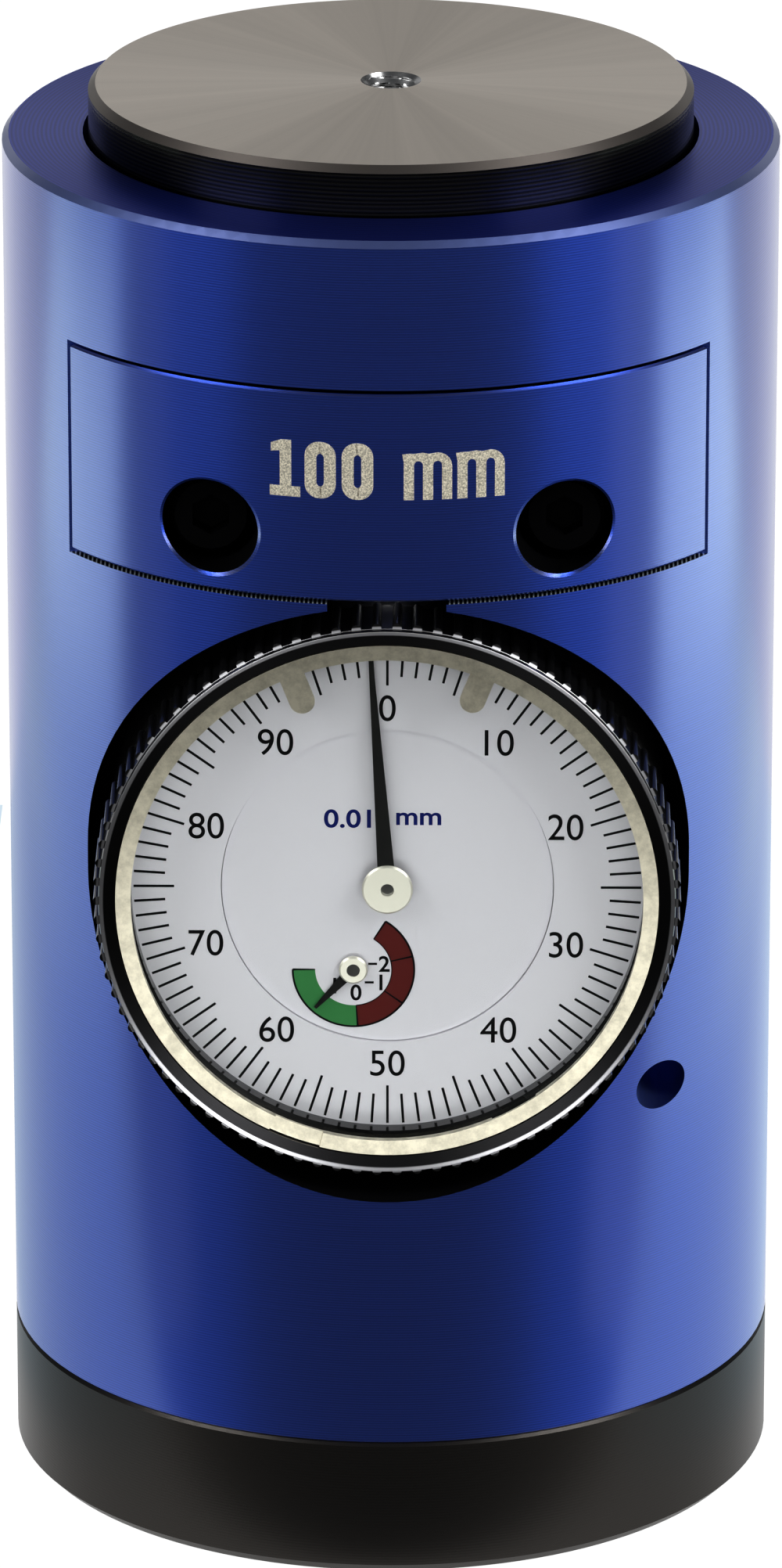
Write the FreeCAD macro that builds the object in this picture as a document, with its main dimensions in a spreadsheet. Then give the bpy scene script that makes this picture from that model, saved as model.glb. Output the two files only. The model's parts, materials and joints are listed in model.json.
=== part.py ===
import FreeCAD, Part
import math
import os
import re

import Sketcher
from FreeCAD import Placement, Rotation, Vector

# Tool height setter: a round housing with a sprung anvil on top and a dial indicator inside.
# The origin is the centre of the base's underside, +Z is up and the dial faces -Y.

os.makedirs("parts", exist_ok=True)
doc = FreeCAD.newDocument("tool_height_setter")

SIZES = {
    # Housing, measured from the table
    "housing_radius": "27.0",
    "base_height": "10.0",
    "base_foot_chamfer": "0.7",
    "base_top_chamfer": "0.3",
    "ring_chamfer": "0.45",
    "foot_chamfer": "0.12",
    "dial_rise": "39.9",
    "bezel_room": "0.66",
    "case_room": "1.0",
    "pocket_stretch": "0.91",
    "pocket_floor_gap": "0.3",
    "cover_web": "0.11",
    "cover_opening": "15.3",
    "bridge_height": "1.92",
    "recess_depth": "8.5",
    "side_hole_radius": "1.7",
    "side_hole_wall": "2.28",
    "side_hole_angle": "-40.1",
    "side_hole_depth": "9.0",
    "drill_room": "1.0",
    "pin_room": "0.5",
    # Base screws
    "base_bolt_circle": "19.5",
    "base_screw_radius": "2.0",
    "base_head_radius": "3.5",
    "base_head_height": "4.0",
    "base_head_sink": "0.6",
    "base_hole_gap": "0.25",
    "base_screw_reach": "9.0",
    "base_hex_across": "3.0",
    "base_hex_depth": "2.2",
    # Anvil and its guide
    "anvil_radius": "21.0",
    "anvil_thickness": "8.0",
    "anvil_rise": "3.5",
    "anvil_travel": "3.5",
    "anvil_gap": "0.4",
    "anvil_edge": "0.5",
    "tap_radius": "1.65",
    "tap_countersink": "0.2",
    "spigot_radius": "4.0",
    "spigot_height": "2.5",
    "column_radius": "6.0",
    "column_neck_radius": "3.5",
    "bush_radius": "8.5",
    "bush_length": "16.0",
    "running_gap": "0.03",
    "fit_gap": "0.01",
    "stop_gap": "0.02",
    "chamber_radius": "8.0",
    "collar_radius": "7.4",
    "collar_height": "5.0",
    "collar_screw_radius": "2.0",
    "collar_screw_reach": "9.0",
    "collar_head_radius": "3.5",
    "collar_head_height": "2.2",
    "collar_hex_across": "2.5",
    "collar_hex_depth": "1.3",
    "plug_height": "6.0",
    "plug_hex_across": "6.0",
    "plug_hex_depth": "4.0",
    "spring_length": "24.0",
    "spring_radius": "6.2",
    "spring_wire": "0.6",
    "spring_turns": "7",
    "turn_pin_radius": "1.5",
    "turn_pin_offset": "15.0",
    "turn_pin_seat": "9.0",
    "turn_pin_rise": "6.5",
    # Clamp cover
    "stem_setback": "15.85",
    "clamp_gap": "0.3",
    "cover_gap": "0.28",
    "cover_edge": "0.15",
    "cover_screw_spread": "12.05",
    "cover_screw_rise": "4.38",
    "cover_screw_radius": "1.5",
    "cover_hole_gap": "0.2",
    "cover_bore_radius": "3.3",
    "cover_bore_edge": "0.2",
    "cover_seat": "2.5",
    "cover_head_radius": "2.75",
    "cover_head_height": "3.0",
    "cover_hex_across": "2.5",
    "cover_hex_depth": "1.6",
    "cover_screw_reach": "7.5",
    "head_edge": "0.3",
    # Indicator case, depths counted forward from the spindle axis
    "stem_radius": "4.0",
    "stem_drop": "4.0",
    "stem_clearance": "0.05",
    "stem_spigot_radius": "3.3",
    "spot_face": "0.5",
    "case_radius": "19.5",
    "case_wall": "1.9",
    "case_shoulder": "4.35",
    "case_back_depth": "4.65",
    "neck_radius": "18.3",
    "neck_wall": "1.7",
    "wall_front": "6.35",
    "wall_thickness": "0.8",
    "back_thickness": "1.2",
    "back_screw_radius": "0.6",
    "back_head_radius": "1.1",
    "back_screw_reach": "2.5",
    "driver_slot_half": "0.15",
    "guide_boss_radius": "3.2",
    "guide_boss_height": "3.7",
    "cap_radius": "3.0",
    "cap_height": "1.9",
    "cap_wall": "0.7",
    "wire_radius": "0.32",
    "wire_depth": "5.3",
    "wire_span_angle": "345",
    # Bezel, crystal and dials
    "bezel_front": "10.41",
    "bezel_back": "4.45",
    "grip_wall": "1.55",
    "bezel_bump": "0.35",
    "bezel_bump_share": "0.46",
    "bezel_teeth": "90",
    "skirt_wall": "1.3",
    "rim_inset": "0.08",
    "rim_land": "0.06",
    "rim_slope": "0.2",
    "grip_inset": "0.02",
    "knurl_back": "5.45",
    "knurl_front": "10.0",
    "bevel_foot": "10.15",
    "crystal_lap": "0.4",
    "crystal_back": "8.1",
    "crystal_thickness": "1.4",
    "sight_inset": "0.65",
    "scale_front": "6.99",
    "scale_thickness": "0.4",
    "scale_inset": "0.37",
    "scale_bore": "11.48",
    "dial_front": "6.75",
    "dial_gap": "0.05",
    "marker_play": "0.04",
    "marker_overhang": "0.05",
    "marker_thickness": "0.25",
    "marker_gap": "0.05",
    "marker_tab_length": "2.75",
    "marker_tab_half": "0.875",
    "marker_left_angle": "21.6",
    "marker_right_angle": "-21.8",
    "marker_slit_angle": "159.8",
    "marker_slit_half": "5.7",
    "rear_slit_angle": "-150.0",
    # Movement
    "counter_across": "2.36",
    "counter_drop": "6.1",
    "wheel_teeth": "75",
    "centre_teeth": "10",
    "rack_teeth": "12",
    "rack_pitch": "0.625",
    "rack_tip_share": "0.65",
    "rack_root_share": "1.3",
    "rack_floor_share": "0.12",
    "rack_mouth_share": "0.37",
    "plate_radius": "13.0",
    "plate_thickness": "0.5",
    "front_plate_depth": "4.95",
    "rear_plate_depth": "2.25",
    "pillar_across": "9.8",
    "pillar_up": "3.6",
    "pillar_radius": "1.1",
    "plate_screw_radius": "0.6",
    "plate_head_radius": "1.1",
    "plate_head_height": "0.6",
    "arbor_radius": "0.45",
    "pivot_gap": "0.03",
    "wheel_depth": "3.25",
    "wheel_thickness": "0.4",
    "centre_pinion_depth": "2.95",
    "centre_pinion_length": "1.7",
    "rack_pinion_half": "1.6",
    "cock_depth": "2.95",
    "cock_thickness": "0.6",
    "cock_half_width": "1.4",
    "cock_reach": "9.0",
    "cock_leg": "2.0",
    "hairspring_depth": "4.0",
    "hairspring_height": "0.35",
    "hairspring_inner": "0.9",
    "hairspring_outer": "3.3",
    "hairspring_turns": "5",
    "hairspring_wall": "0.1",
    "hairspring_stud": "0.35",
    "spindle_radius": "2.0",
    "contact_gap": "0.05",
    "spindle_foot_gap": "1.1",
    "rack_foot": "3.6",
    "rack_grooves": "15",
    "contact_radius": "2.1",
    "contact_thread": "0.9",
    "contact_thread_length": "2.5",
    "contact_height": "4.25",
    "guide_pin_radius": "0.6",
    "guide_pin_drop": "9.5",
    "guide_pin_reach": "7.9",
    "rail_across": "5.0",
    "rail_half": "0.8",
    "rail_top": "1.4",
    "rail_slot_gap": "0.05",
    "rail_end": "1.0",
    "plunger_spring_across": "7.0",
    "plunger_spring_radius": "0.75",
    "plunger_spring_wire": "0.15",
    "plunger_spring_turns": "12",
    "plunger_spring_gap": "0.1",
    "post_rise": "8.0",
    "post_radius": "0.5",
    # Hands
    "hand_angle": "3.9",
    "hand_gap": "0.75",
    "hand_base_half": "0.62",
    "hand_tip_half": "0.14",
    "hand_back": "7.33",
    "hand_thickness": "0.15",
    "hub_radius": "1.76",
    "hub_front": "7.71",
    "hub_edge": "0.12",
    "hub_sink": "0.25",
    "counter_angle": "137.4",
    "counter_reach": "3.9",
    "counter_base_half": "0.42",
    "counter_tip_half": "0.1",
    "counter_hub_radius": "1.0",
    "counter_hub_front": "7.25",
    "counter_hub_sink": "0.05",
    "counter_hand_back": "6.88",
    "counter_hand_thickness": "0.12",
}

sheet = doc.addObject("Spreadsheet::Sheet", "sizes")
for row, (alias, number) in enumerate(SIZES.items(), start=1):
    sheet.set(f"A{row}", alias)
    sheet.set(f"B{row}", number)
    sheet.setAlias(f"B{row}", alias)
doc.recompute()

# Places worked out from the sizes, as expressions
DIAL_Z = "(base_height + dial_rise)"
BACK_RADIUS = "max(case_radius; neck_radius)"
GRIP_VALLEY = "(neck_radius + grip_wall)"
POCKET_RADIUS = f"max({GRIP_VALLEY} + bezel_bump + bezel_room; case_radius + case_room)"
OPENING_LOW = f"({DIAL_Z} + pocket_stretch + {POCKET_RADIUS} + cover_web)"
OPENING_HIGH = f"({OPENING_LOW} + cover_opening)"
RECESS_FLOOR = f"({OPENING_HIGH} + bridge_height)"
RING_TOP = f"({RECESS_FLOOR} + recess_depth)"
ANVIL_TOP = f"({RING_TOP} + anvil_rise)"
ANVIL_FOOT = f"({ANVIL_TOP} - anvil_thickness)"
BUSH_FOOT = f"({RECESS_FLOOR} - bush_length)"
COLLAR_TOP = f"({BUSH_FOOT} - stop_gap)"
COLLAR_FOOT = f"({COLLAR_TOP} - collar_height)"
PLUG_TOP = f"({COLLAR_FOOT} - spring_length)"
PLUG_FOOT = f"({PLUG_TOP} - plug_height)"
BODY_FLAT = "(stem_setback - clamp_gap / 2)"
COVER_BACK = "(stem_setback + clamp_gap / 2)"
COVER_SEAT = "(stem_setback + clamp_gap / 2 + cover_seat)"
COVER_SCREW_Z = f"({OPENING_LOW} + cover_gap + cover_screw_rise)"
POCKET_FLOOR = "(stem_setback - case_back_depth - back_thickness - pocket_floor_gap)"
SPOT = "(case_radius - spot_face)"
STEM_HEAD = f"({RECESS_FLOOR} - {DIAL_Z} - stem_drop)"
SPINDLE_FOOT = "(case_radius - spot_face + cap_height - cap_wall - anvil_travel - spindle_foot_gap)"
SPINDLE_HEAD = f"({ANVIL_FOOT} - {DIAL_Z} - contact_height - contact_gap)"
FAR = "(2 * housing_radius)"
NECK_BORE = "(neck_radius - neck_wall)"
SIGHT_RADIUS = "(neck_radius - sight_inset)"
SCALE_RADIUS = "(neck_radius - scale_inset)"
CRYSTAL_RADIUS = "(neck_radius + crystal_lap)"
MARKER_BORE = f"({SIGHT_RADIUS} - marker_overhang)"
SIDE_HOLE_REACH = f"({POCKET_RADIUS} + side_hole_wall + side_hole_radius)"
SCALE_BACK = "(scale_front - scale_thickness)"
CRYSTAL_FRONT = "(crystal_back + crystal_thickness)"

ALIAS = re.compile(r"[a-z]+(?:_[a-z]+)+")
ORIGIN = -1
START = 1


def num(alias):
    """One size as a number."""
    return float(sheet.get(alias))


def named(text):
    """An expression with each size's name pointed at the sheet."""
    return ALIAS.sub(lambda match: "sizes." + match.group(0), text)


def bind(thing, prop, text):
    thing.setExpression(prop, named(text))


def new_body(label, frame="world"):
    """A body in the world frame, the stem's frame (+Z up the stem) or the dial's frame (+Z forward)."""
    body = doc.addObject("PartDesign::Body", label)
    body.Label = label
    body.AllowCompound = True
    if frame in ("stem", "dial"):
        if frame == "dial":
            body.Placement = Placement(Vector(), Rotation(Vector(1, 0, 0), 90))
        bind(body, "Placement.Base.y", "-stem_setback")
        bind(body, "Placement.Base.z", DIAL_Z)
    return body


def new_sketch(body, name, plane, offset="0", turn=0.0):
    """An empty sketch on one of the body's own planes, moved along its normal and turned in its plane."""
    sketch = body.newObject("Sketcher::SketchObject", name)
    support = [p for p in body.Origin.OriginFeatures if p.Role == plane][0]
    sketch.AttachmentSupport = [(support, "")]
    sketch.MapMode = "FlatFace"
    sketch.AttachmentOffset = Placement(Vector(), Rotation(Vector(0, 0, 1), turn))
    bind(sketch, "AttachmentOffset.Base.z", offset)
    return sketch


def place_point(sketch, element, point, across=None, up=None):
    """Ties one point of a sketch to the origin by one or two bound distances."""
    here = sketch.getPoint(element, point)
    for kind, now, text in (("DistanceX", here.x, across), ("DistanceY", here.y, up)):
        if text is not None:
            index = sketch.addConstraint(Sketcher.Constraint(kind, ORIGIN, 1, element, point, now))
            bind(sketch, f"Constraints[{index}]", text)


def add_outline(sketch, corners):
    """A closed straight-sided loop whose corners are pairs of expressions."""
    count = len(corners)
    first = sketch.GeometryCount
    angles = [2 * math.pi * i / count for i in range(count)]
    ring = [Vector(math.cos(angle), math.sin(angle), 0) for angle in angles]
    for i in range(count):
        sketch.addGeometry(Part.LineSegment(ring[i], ring[(i + 1) % count]), False)
    for i in range(count):
        following = first + (i + 1) % count
        sketch.addConstraint(Sketcher.Constraint("Coincident", first + i, 2, following, 1))
    for i, (across, up) in enumerate(corners):
        place_point(sketch, first + i, START, across, up)


def add_circle(sketch, across, up, radius):
    """A circle with its centre and radius bound to expressions."""
    element = sketch.addGeometry(Part.Circle(Vector(1, 1, 0), Vector(0, 0, 1), 1.0), False)
    place_point(sketch, element, 3, across, up)
    index = sketch.addConstraint(Sketcher.Constraint("Radius", element, 1.0))
    bind(sketch, f"Constraints[{index}]", radius)


def hexagon(across, up, flats, corner_up=True):
    """Corners of a hexagon of a given width over its flats."""
    corners = []
    for i in range(6):
        angle = 60 * i + (30 if corner_up else 0)
        reach = f"({flats}) / sqrt(3)"
        corners.append((f"{across} + {reach} * cos({angle})", f"{up} + {reach} * sin({angle})"))
    return corners


def revolve(body, name, corners, groove=False):
    """A profile of radius and height turned once about the body's Z axis."""
    sketch = new_sketch(body, name + "_profile", "XZ_Plane")
    add_outline(sketch, corners)
    doc.recompute()
    kind = "PartDesign::Groove" if groove else "PartDesign::Revolution"
    feature = body.newObject(kind, name)
    feature.Profile = sketch
    feature.ReferenceAxis = (sketch, ["V_Axis"])
    feature.Angle = 360.0
    return feature


def pad(body, name, sketch, length, reverse=False):
    feature = body.newObject("PartDesign::Pad", name)
    feature.Profile = sketch
    feature.Reversed = reverse
    bind(feature, "Length", length)
    return feature


def pocket(body, name, sketch, length, reverse=False):
    """A cut against the sketch's normal, or along it when reversed, that has to remove material."""
    doc.recompute()
    before = body.Shape.Volume
    feature = body.newObject("PartDesign::Pocket", name)
    feature.Profile = sketch
    feature.Reversed = reverse
    bind(feature, "Length", length)
    doc.recompute()
    if not body.Shape.Volume < before - 1e-6:
        raise RuntimeError(f"{body.Label}: {name} cuts nothing")
    return feature


def circles(body, name, plane, places, radius, offset="0"):
    """A sketch of equal circles."""
    sketch = new_sketch(body, name, plane, offset)
    for across, up in places:
        add_circle(sketch, across, up, radius)
    return sketch


def hexagons(body, name, plane, places, flats, offset="0", corner_up=True):
    """A sketch of equal hexagons."""
    sketch = new_sketch(body, name, plane, offset)
    for across, up in places:
        add_outline(sketch, hexagon(across, up, flats, corner_up))
    return sketch


def rectangle(low_across, low_up, high_across, high_up):
    return [(low_across, low_up), (high_across, low_up), (high_across, high_up), (low_across, high_up)]


def rims(body, test):
    """Names of the circular edges of a body's last feature that pass a test."""
    doc.recompute()
    found = []
    for index, edge in enumerate(body.Tip.Shape.Edges, start=1):
        if hasattr(edge, "Curve") and isinstance(edge.Curve, Part.Circle) and test(edge):
            found.append(f"Edge{index}")
    return found


def chamfer(body, name, edges, size):
    feature = body.newObject("PartDesign::Chamfer", name)
    feature.Base = (body.Tip if body.Tip != feature else feature.BaseFeature, edges)
    bind(feature, "Size", size)
    return feature


def settled(shape):
    """The same solid with its moves taken into its geometry."""
    moves = shape.Placement.toMatrix()
    still = shape.copy()
    still.Placement = Placement()
    return still.transformShape(moves, True) or still


def solid_feature(label, shape, frame="world"):
    """A piece made straight from a shape, put in the stem's or the dial's frame."""
    feature = doc.addObject("Part::Feature", label)
    feature.Label = label
    feature.Shape = settled(shape)
    if frame == "dial":
        feature.Placement = Placement(Vector(), Rotation(Vector(1, 0, 0), 90))
    if frame in ("stem", "dial"):
        bind(feature, "Placement.Base.y", "-stem_setback")
        bind(feature, "Placement.Base.z", DIAL_Z)
    return feature


def bolt_places(radius, angles):
    return [(f"{radius} * cos({angle})", f"{radius} * sin({angle})") for angle in angles]


BASE_BOLTS = bolt_places("base_bolt_circle", (45, 135, 225, 315))
BACK_BOLTS = bolt_places("(case_radius - case_wall / 2)", (45, 135, 225, 315))
PILLARS = [("pillar_across", "pillar_up"), ("-pillar_across", "pillar_up"),
           ("-pillar_across", "-pillar_up"), ("pillar_across", "-pillar_up")]
COVER_BOLTS = [("cover_screw_spread", COVER_SCREW_Z), ("-cover_screw_spread", COVER_SCREW_Z)]


# Housing

def make_base():
    body = new_body("base")
    revolve(body, "disc", [
        ("0", "0"),
        ("housing_radius - base_foot_chamfer", "0"),
        ("housing_radius", "base_foot_chamfer"),
        ("housing_radius", "base_height - base_top_chamfer"),
        ("housing_radius - base_top_chamfer", "base_height"),
        ("0", "base_height"),
    ])
    through = circles(body, "screw_holes", "XY_Plane", BASE_BOLTS, "base_screw_radius + base_hole_gap")
    pocket(body, "screw_clearance", through, "base_height", reverse=True)
    bores = circles(body, "head_bores", "XY_Plane", BASE_BOLTS, "base_head_radius + base_hole_gap")
    pocket(body, "head_sinks", bores, "base_head_height + base_head_sink", reverse=True)
    return body


def make_base_screws():
    seat = "(base_head_height + base_head_sink)"
    body = new_body("base_screws")
    heads = circles(body, "heads", "XY_Plane", BASE_BOLTS, "base_head_radius", "base_head_sink")
    pad(body, "head", heads, "base_head_height")
    shanks = circles(body, "shanks", "XY_Plane", BASE_BOLTS, "base_screw_radius", seat)
    pad(body, "shank", shanks, "base_height - base_head_height - base_head_sink + base_screw_reach")
    keys = hexagons(body, "keys", "XY_Plane", BASE_BOLTS, "base_hex_across", "base_head_sink")
    pocket(body, "key_sockets", keys, "base_hex_depth", reverse=True)
    return body


def make_housing():
    body = new_body("body")
    revolve(body, "barrel", [
        ("chamber_radius", "base_height"),
        ("housing_radius - foot_chamfer", "base_height"),
        ("housing_radius", "base_height + foot_chamfer"),
        ("housing_radius", f"{RING_TOP} - ring_chamfer"),
        ("housing_radius - ring_chamfer", RING_TOP),
        ("anvil_radius + anvil_gap", RING_TOP),
        ("anvil_radius + anvil_gap", RECESS_FLOOR),
        ("bush_radius", RECESS_FLOOR),
        ("bush_radius", BUSH_FOOT),
        ("chamber_radius", BUSH_FOOT),
    ])
    dial_pocket = new_sketch(body, "dial_pocket_outline", "XZ_Plane", POCKET_FLOOR)
    add_slot(dial_pocket, POCKET_RADIUS, "pocket_stretch", DIAL_Z)
    pocket(body, "dial_pocket", dial_pocket, "housing_radius", reverse=True)
    opening = new_sketch(body, "cover_opening_outline", "XZ_Plane", BODY_FLAT)
    add_outline(opening, rectangle("-housing_radius", OPENING_LOW, "housing_radius", OPENING_HIGH))
    pocket(body, "cover_opening", opening, "housing_radius", reverse=True)
    stem_place = [("0", "-stem_setback")]
    drill = circles(body, "stem_drill", "XY_Plane", stem_place, "stem_radius + stem_clearance", DIAL_Z)
    pocket(body, "stem_hole", drill, f"{RECESS_FLOOR} - {DIAL_Z}", reverse=True)
    slot = new_sketch(body, "stem_slot_outline", "XZ_Plane", "stem_setback")
    half = "(stem_radius + stem_clearance)"
    add_outline(slot, rectangle(f"-{half}", DIAL_Z, half, f"{OPENING_LOW} + cover_gap"))
    pocket(body, "stem_slot", slot, "housing_radius", reverse=True)
    taps = circles(body, "cover_taps", "XZ_Plane", COVER_BOLTS, "cover_screw_radius + fit_gap", BODY_FLAT)
    pocket(body, "cover_screw_holes", taps, "cover_screw_reach + drill_room")
    feet = circles(body, "base_taps", "XY_Plane", BASE_BOLTS, "base_screw_radius + fit_gap", "base_height")
    pocket(body, "base_screw_holes", feet, "base_screw_reach + drill_room", reverse=True)
    pin = circles(body, "turn_pin_drill", "XY_Plane", [("0", "turn_pin_offset")],
                  "turn_pin_radius + fit_gap", RECESS_FLOOR)
    pocket(body, "turn_pin_hole", pin, "turn_pin_seat")
    side_place = (f"{SIDE_HOLE_REACH} * cos(side_hole_angle)",
                  f"{DIAL_Z} + {SIDE_HOLE_REACH} * sin(side_hole_angle)")
    side = circles(body, "side_drill", "XZ_Plane", [side_place], "side_hole_radius", "side_hole_depth")
    pocket(body, "side_hole", side, "housing_radius", reverse=True)
    return body


def add_slot(sketch, radius, stretch, middle):
    """An upright slot: two half circles, a little apart, joined by two short straights."""
    side = num("case_radius")
    high = num("base_height") + num("dial_rise") + num("pocket_stretch")
    foot = high - 2 * num("pocket_stretch")
    top_circle = Part.Circle(Vector(0, high, 0), Vector(0, 0, 1), side)
    low_circle = Part.Circle(Vector(0, foot, 0), Vector(0, 0, 1), side)
    top = sketch.addGeometry(Part.ArcOfCircle(top_circle, 0, math.pi), False)
    low = sketch.addGeometry(Part.ArcOfCircle(low_circle, math.pi, 2 * math.pi), False)
    left = sketch.addGeometry(Part.LineSegment(Vector(-side, high, 0), Vector(-side, foot, 0)), False)
    right = sketch.addGeometry(Part.LineSegment(Vector(side, foot, 0), Vector(side, high, 0)), False)
    for a, a_end, b, b_end in ((top, 2, left, 1), (left, 2, low, 1), (low, 2, right, 1), (right, 2, top, 1)):
        sketch.addConstraint(Sketcher.Constraint("Coincident", a, a_end, b, b_end))
    place_point(sketch, top, 3, "0", f"{middle} + {stretch}")
    place_point(sketch, low, 3, "0", f"{middle} - {stretch}")
    place_point(sketch, left, 1, f"-{radius}", f"{middle} + {stretch}")
    place_point(sketch, left, 2, f"-{radius}", f"{middle} - {stretch}")
    place_point(sketch, right, 1, up=f"{middle} - {stretch}")
    place_point(sketch, right, 2, up=f"{middle} + {stretch}")


def make_cover():
    low = f"({OPENING_LOW} + cover_gap)"
    height = "(cover_opening - 2 * cover_gap)"
    body = new_body("clamp_cover")
    disc = circles(body, "round_outline", "XY_Plane", [("0", "0")], "housing_radius", low)
    pad(body, "round_slab", disc, height)
    rest = new_sketch(body, "flat_outline", "XY_Plane", low)
    add_outline(rest, rectangle(f"-{FAR}", f"-{COVER_BACK}", FAR, FAR))
    pocket(body, "flat_back", rest, height, reverse=True)
    chamfer(body, "outer_edges", rims(body, lambda edge: True), "cover_edge")
    groove = circles(body, "groove_circle", "XY_Plane", [("0", "-stem_setback")],
                     "stem_radius + fit_gap", low)
    pocket(body, "stem_groove", groove, height, reverse=True)
    through = circles(body, "screw_drill", "XZ_Plane", COVER_BOLTS, "cover_screw_radius + cover_hole_gap",
                      COVER_BACK)
    pocket(body, "screw_clearance", through, "housing_radius", reverse=True)
    bores = circles(body, "bore_drill", "XZ_Plane", COVER_BOLTS, "cover_bore_radius", COVER_SEAT)
    pocket(body, "head_bores", bores, "housing_radius", reverse=True)
    chamfer(body, "bore_edges", bore_mouths(body), "cover_bore_edge")
    return body


def bore_mouths(body):
    """The curved edges where the cover's head bores meet its round face."""
    seat = num("stem_setback") + num("clamp_gap") / 2 + num("cover_seat")
    reach = 3 * num("cover_bore_radius")
    found = []
    for index, edge in enumerate(body.Tip.Shape.Edges, start=1):
        box = edge.BoundBox
        level = box.XMax - box.XMin < reach and box.ZMax - box.ZMin < reach
        if level and box.YMax < -seat - num("cover_edge") and box.ZMax - box.ZMin > num("cover_edge") * 2:
            found.append(f"Edge{index}")
    return found


def make_cover_screws():
    body = new_body("cover_screws")
    heads = circles(body, "heads", "XZ_Plane", COVER_BOLTS, "cover_head_radius", COVER_SEAT)
    pad(body, "head", heads, "cover_head_height")
    radius = num("cover_head_radius")
    front = -(num("stem_setback") + num("clamp_gap") / 2 + num("cover_seat") + num("cover_head_height"))
    face_edges = rims(body, lambda edge: abs(edge.Curve.Center.y - front) < 1e-4 and
                      abs(edge.Curve.Radius - radius) < 1e-4)
    chamfer(body, "head_edges", face_edges, "head_edge")
    shanks = circles(body, "shanks", "XZ_Plane", COVER_BOLTS, "cover_screw_radius", COVER_SEAT)
    pad(body, "shank", shanks, "cover_seat + clamp_gap + cover_screw_reach", reverse=True)
    keys = hexagons(body, "keys", "XZ_Plane", COVER_BOLTS, "cover_hex_across",
                    f"{COVER_SEAT} + cover_head_height")
    pocket(body, "key_sockets", keys, "cover_hex_depth")
    return body


# Anvil and its guide

def make_anvil():
    body = new_body("anvil_plate")
    revolve(body, "disc", [
        ("tap_radius", f"{ANVIL_FOOT} + spigot_height"),
        ("spigot_radius", f"{ANVIL_FOOT} + spigot_height"),
        ("spigot_radius", ANVIL_FOOT),
        ("anvil_radius - anvil_edge", ANVIL_FOOT),
        ("anvil_radius", f"{ANVIL_FOOT} + anvil_edge"),
        ("anvil_radius", f"{ANVIL_TOP} - anvil_edge"),
        ("anvil_radius - anvil_edge", ANVIL_TOP),
        ("tap_radius + tap_countersink", ANVIL_TOP),
        ("tap_radius", f"{ANVIL_TOP} - tap_countersink"),
    ])
    hole = circles(body, "pin_drill", "XY_Plane", [("0", "turn_pin_offset")],
                   "turn_pin_radius + running_gap", ANVIL_FOOT)
    top = f"({RECESS_FLOOR} + turn_pin_rise + anvil_travel + pin_room)"
    pocket(body, "pin_hole", hole, f"{top} - {ANVIL_FOOT}", reverse=True)
    return body


def make_column():
    body = new_body("guide_column")
    revolve(body, "shaft", [
        ("0", f"{ANVIL_FOOT} + spigot_height"),
        ("0", f"{COLLAR_FOOT} + collar_screw_reach"),
        ("collar_screw_radius + fit_gap", f"{COLLAR_FOOT} + collar_screw_reach"),
        ("collar_screw_radius + fit_gap", f"{COLLAR_FOOT} + fit_gap"),
        ("column_neck_radius", f"{COLLAR_FOOT} + fit_gap"),
        ("column_neck_radius", COLLAR_TOP),
        ("column_radius", COLLAR_TOP),
        ("column_radius", ANVIL_FOOT),
        ("spigot_radius - fit_gap", ANVIL_FOOT),
        ("spigot_radius - fit_gap", f"{ANVIL_FOOT} + spigot_height"),
    ])
    return body


def make_tube(label, outer, inner, foot, top):
    body = new_body(label)
    revolve(body, "tube", rectangle(inner, foot, outer, top))
    return body


def make_collar_screw():
    body = new_body("collar_screw")
    revolve(body, "turned", [
        ("0", f"{COLLAR_FOOT} - collar_head_height"),
        ("collar_head_radius", f"{COLLAR_FOOT} - collar_head_height"),
        ("collar_head_radius", COLLAR_FOOT),
        ("collar_screw_radius", COLLAR_FOOT),
        ("collar_screw_radius", f"{COLLAR_FOOT} + collar_screw_reach - fit_gap"),
        ("0", f"{COLLAR_FOOT} + collar_screw_reach - fit_gap"),
    ])
    key = hexagons(body, "key", "XY_Plane", [("0", "0")], "collar_hex_across",
                   f"{COLLAR_FOOT} - collar_head_height")
    pocket(body, "key_socket", key, "collar_hex_depth", reverse=True)
    return body


def make_plug():
    body = new_body("spring_plug")
    disc = circles(body, "disc", "XY_Plane", [("0", "0")], "chamber_radius - fit_gap", PLUG_FOOT)
    pad(body, "slug", disc, "plug_height")
    key = hexagons(body, "key", "XY_Plane", [("0", "0")], "plug_hex_across", PLUG_FOOT)
    pocket(body, "key_socket", key, "plug_hex_depth", reverse=True)
    return body


def make_turn_pin():
    body = new_body("turn_pin")
    low = f"({RECESS_FLOOR} - turn_pin_seat)"
    disc = circles(body, "section", "XY_Plane", [("0", "turn_pin_offset")], "turn_pin_radius", low)
    pad(body, "pin", disc, "turn_pin_seat + turn_pin_rise")
    chamfer(body, "pin_edges", rims(body, lambda edge: True), "head_edge")
    return body


def coil(radius, wire, length, turns):
    """A round-wire helix about +Z, standing on the plane of its lower end."""
    rise = length - 2 * wire
    path = Part.makeHelix(rise / turns, rise, radius)
    section = Part.Wire(Part.makeCircle(wire, Vector(radius, 0, 0), Vector(0, 1, 0)))
    spring = Part.Wire(path.Edges).makePipeShell([section], True, True)
    spring.translate(Vector(0, 0, wire))
    return spring


def make_return_spring():
    spring = coil(num("spring_radius"), num("spring_wire"), num("spring_length"), num("spring_turns"))
    feature = solid_feature("return_spring", spring)
    bind(feature, "Placement.Base.z", PLUG_TOP)
    return feature


# Indicator

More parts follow.
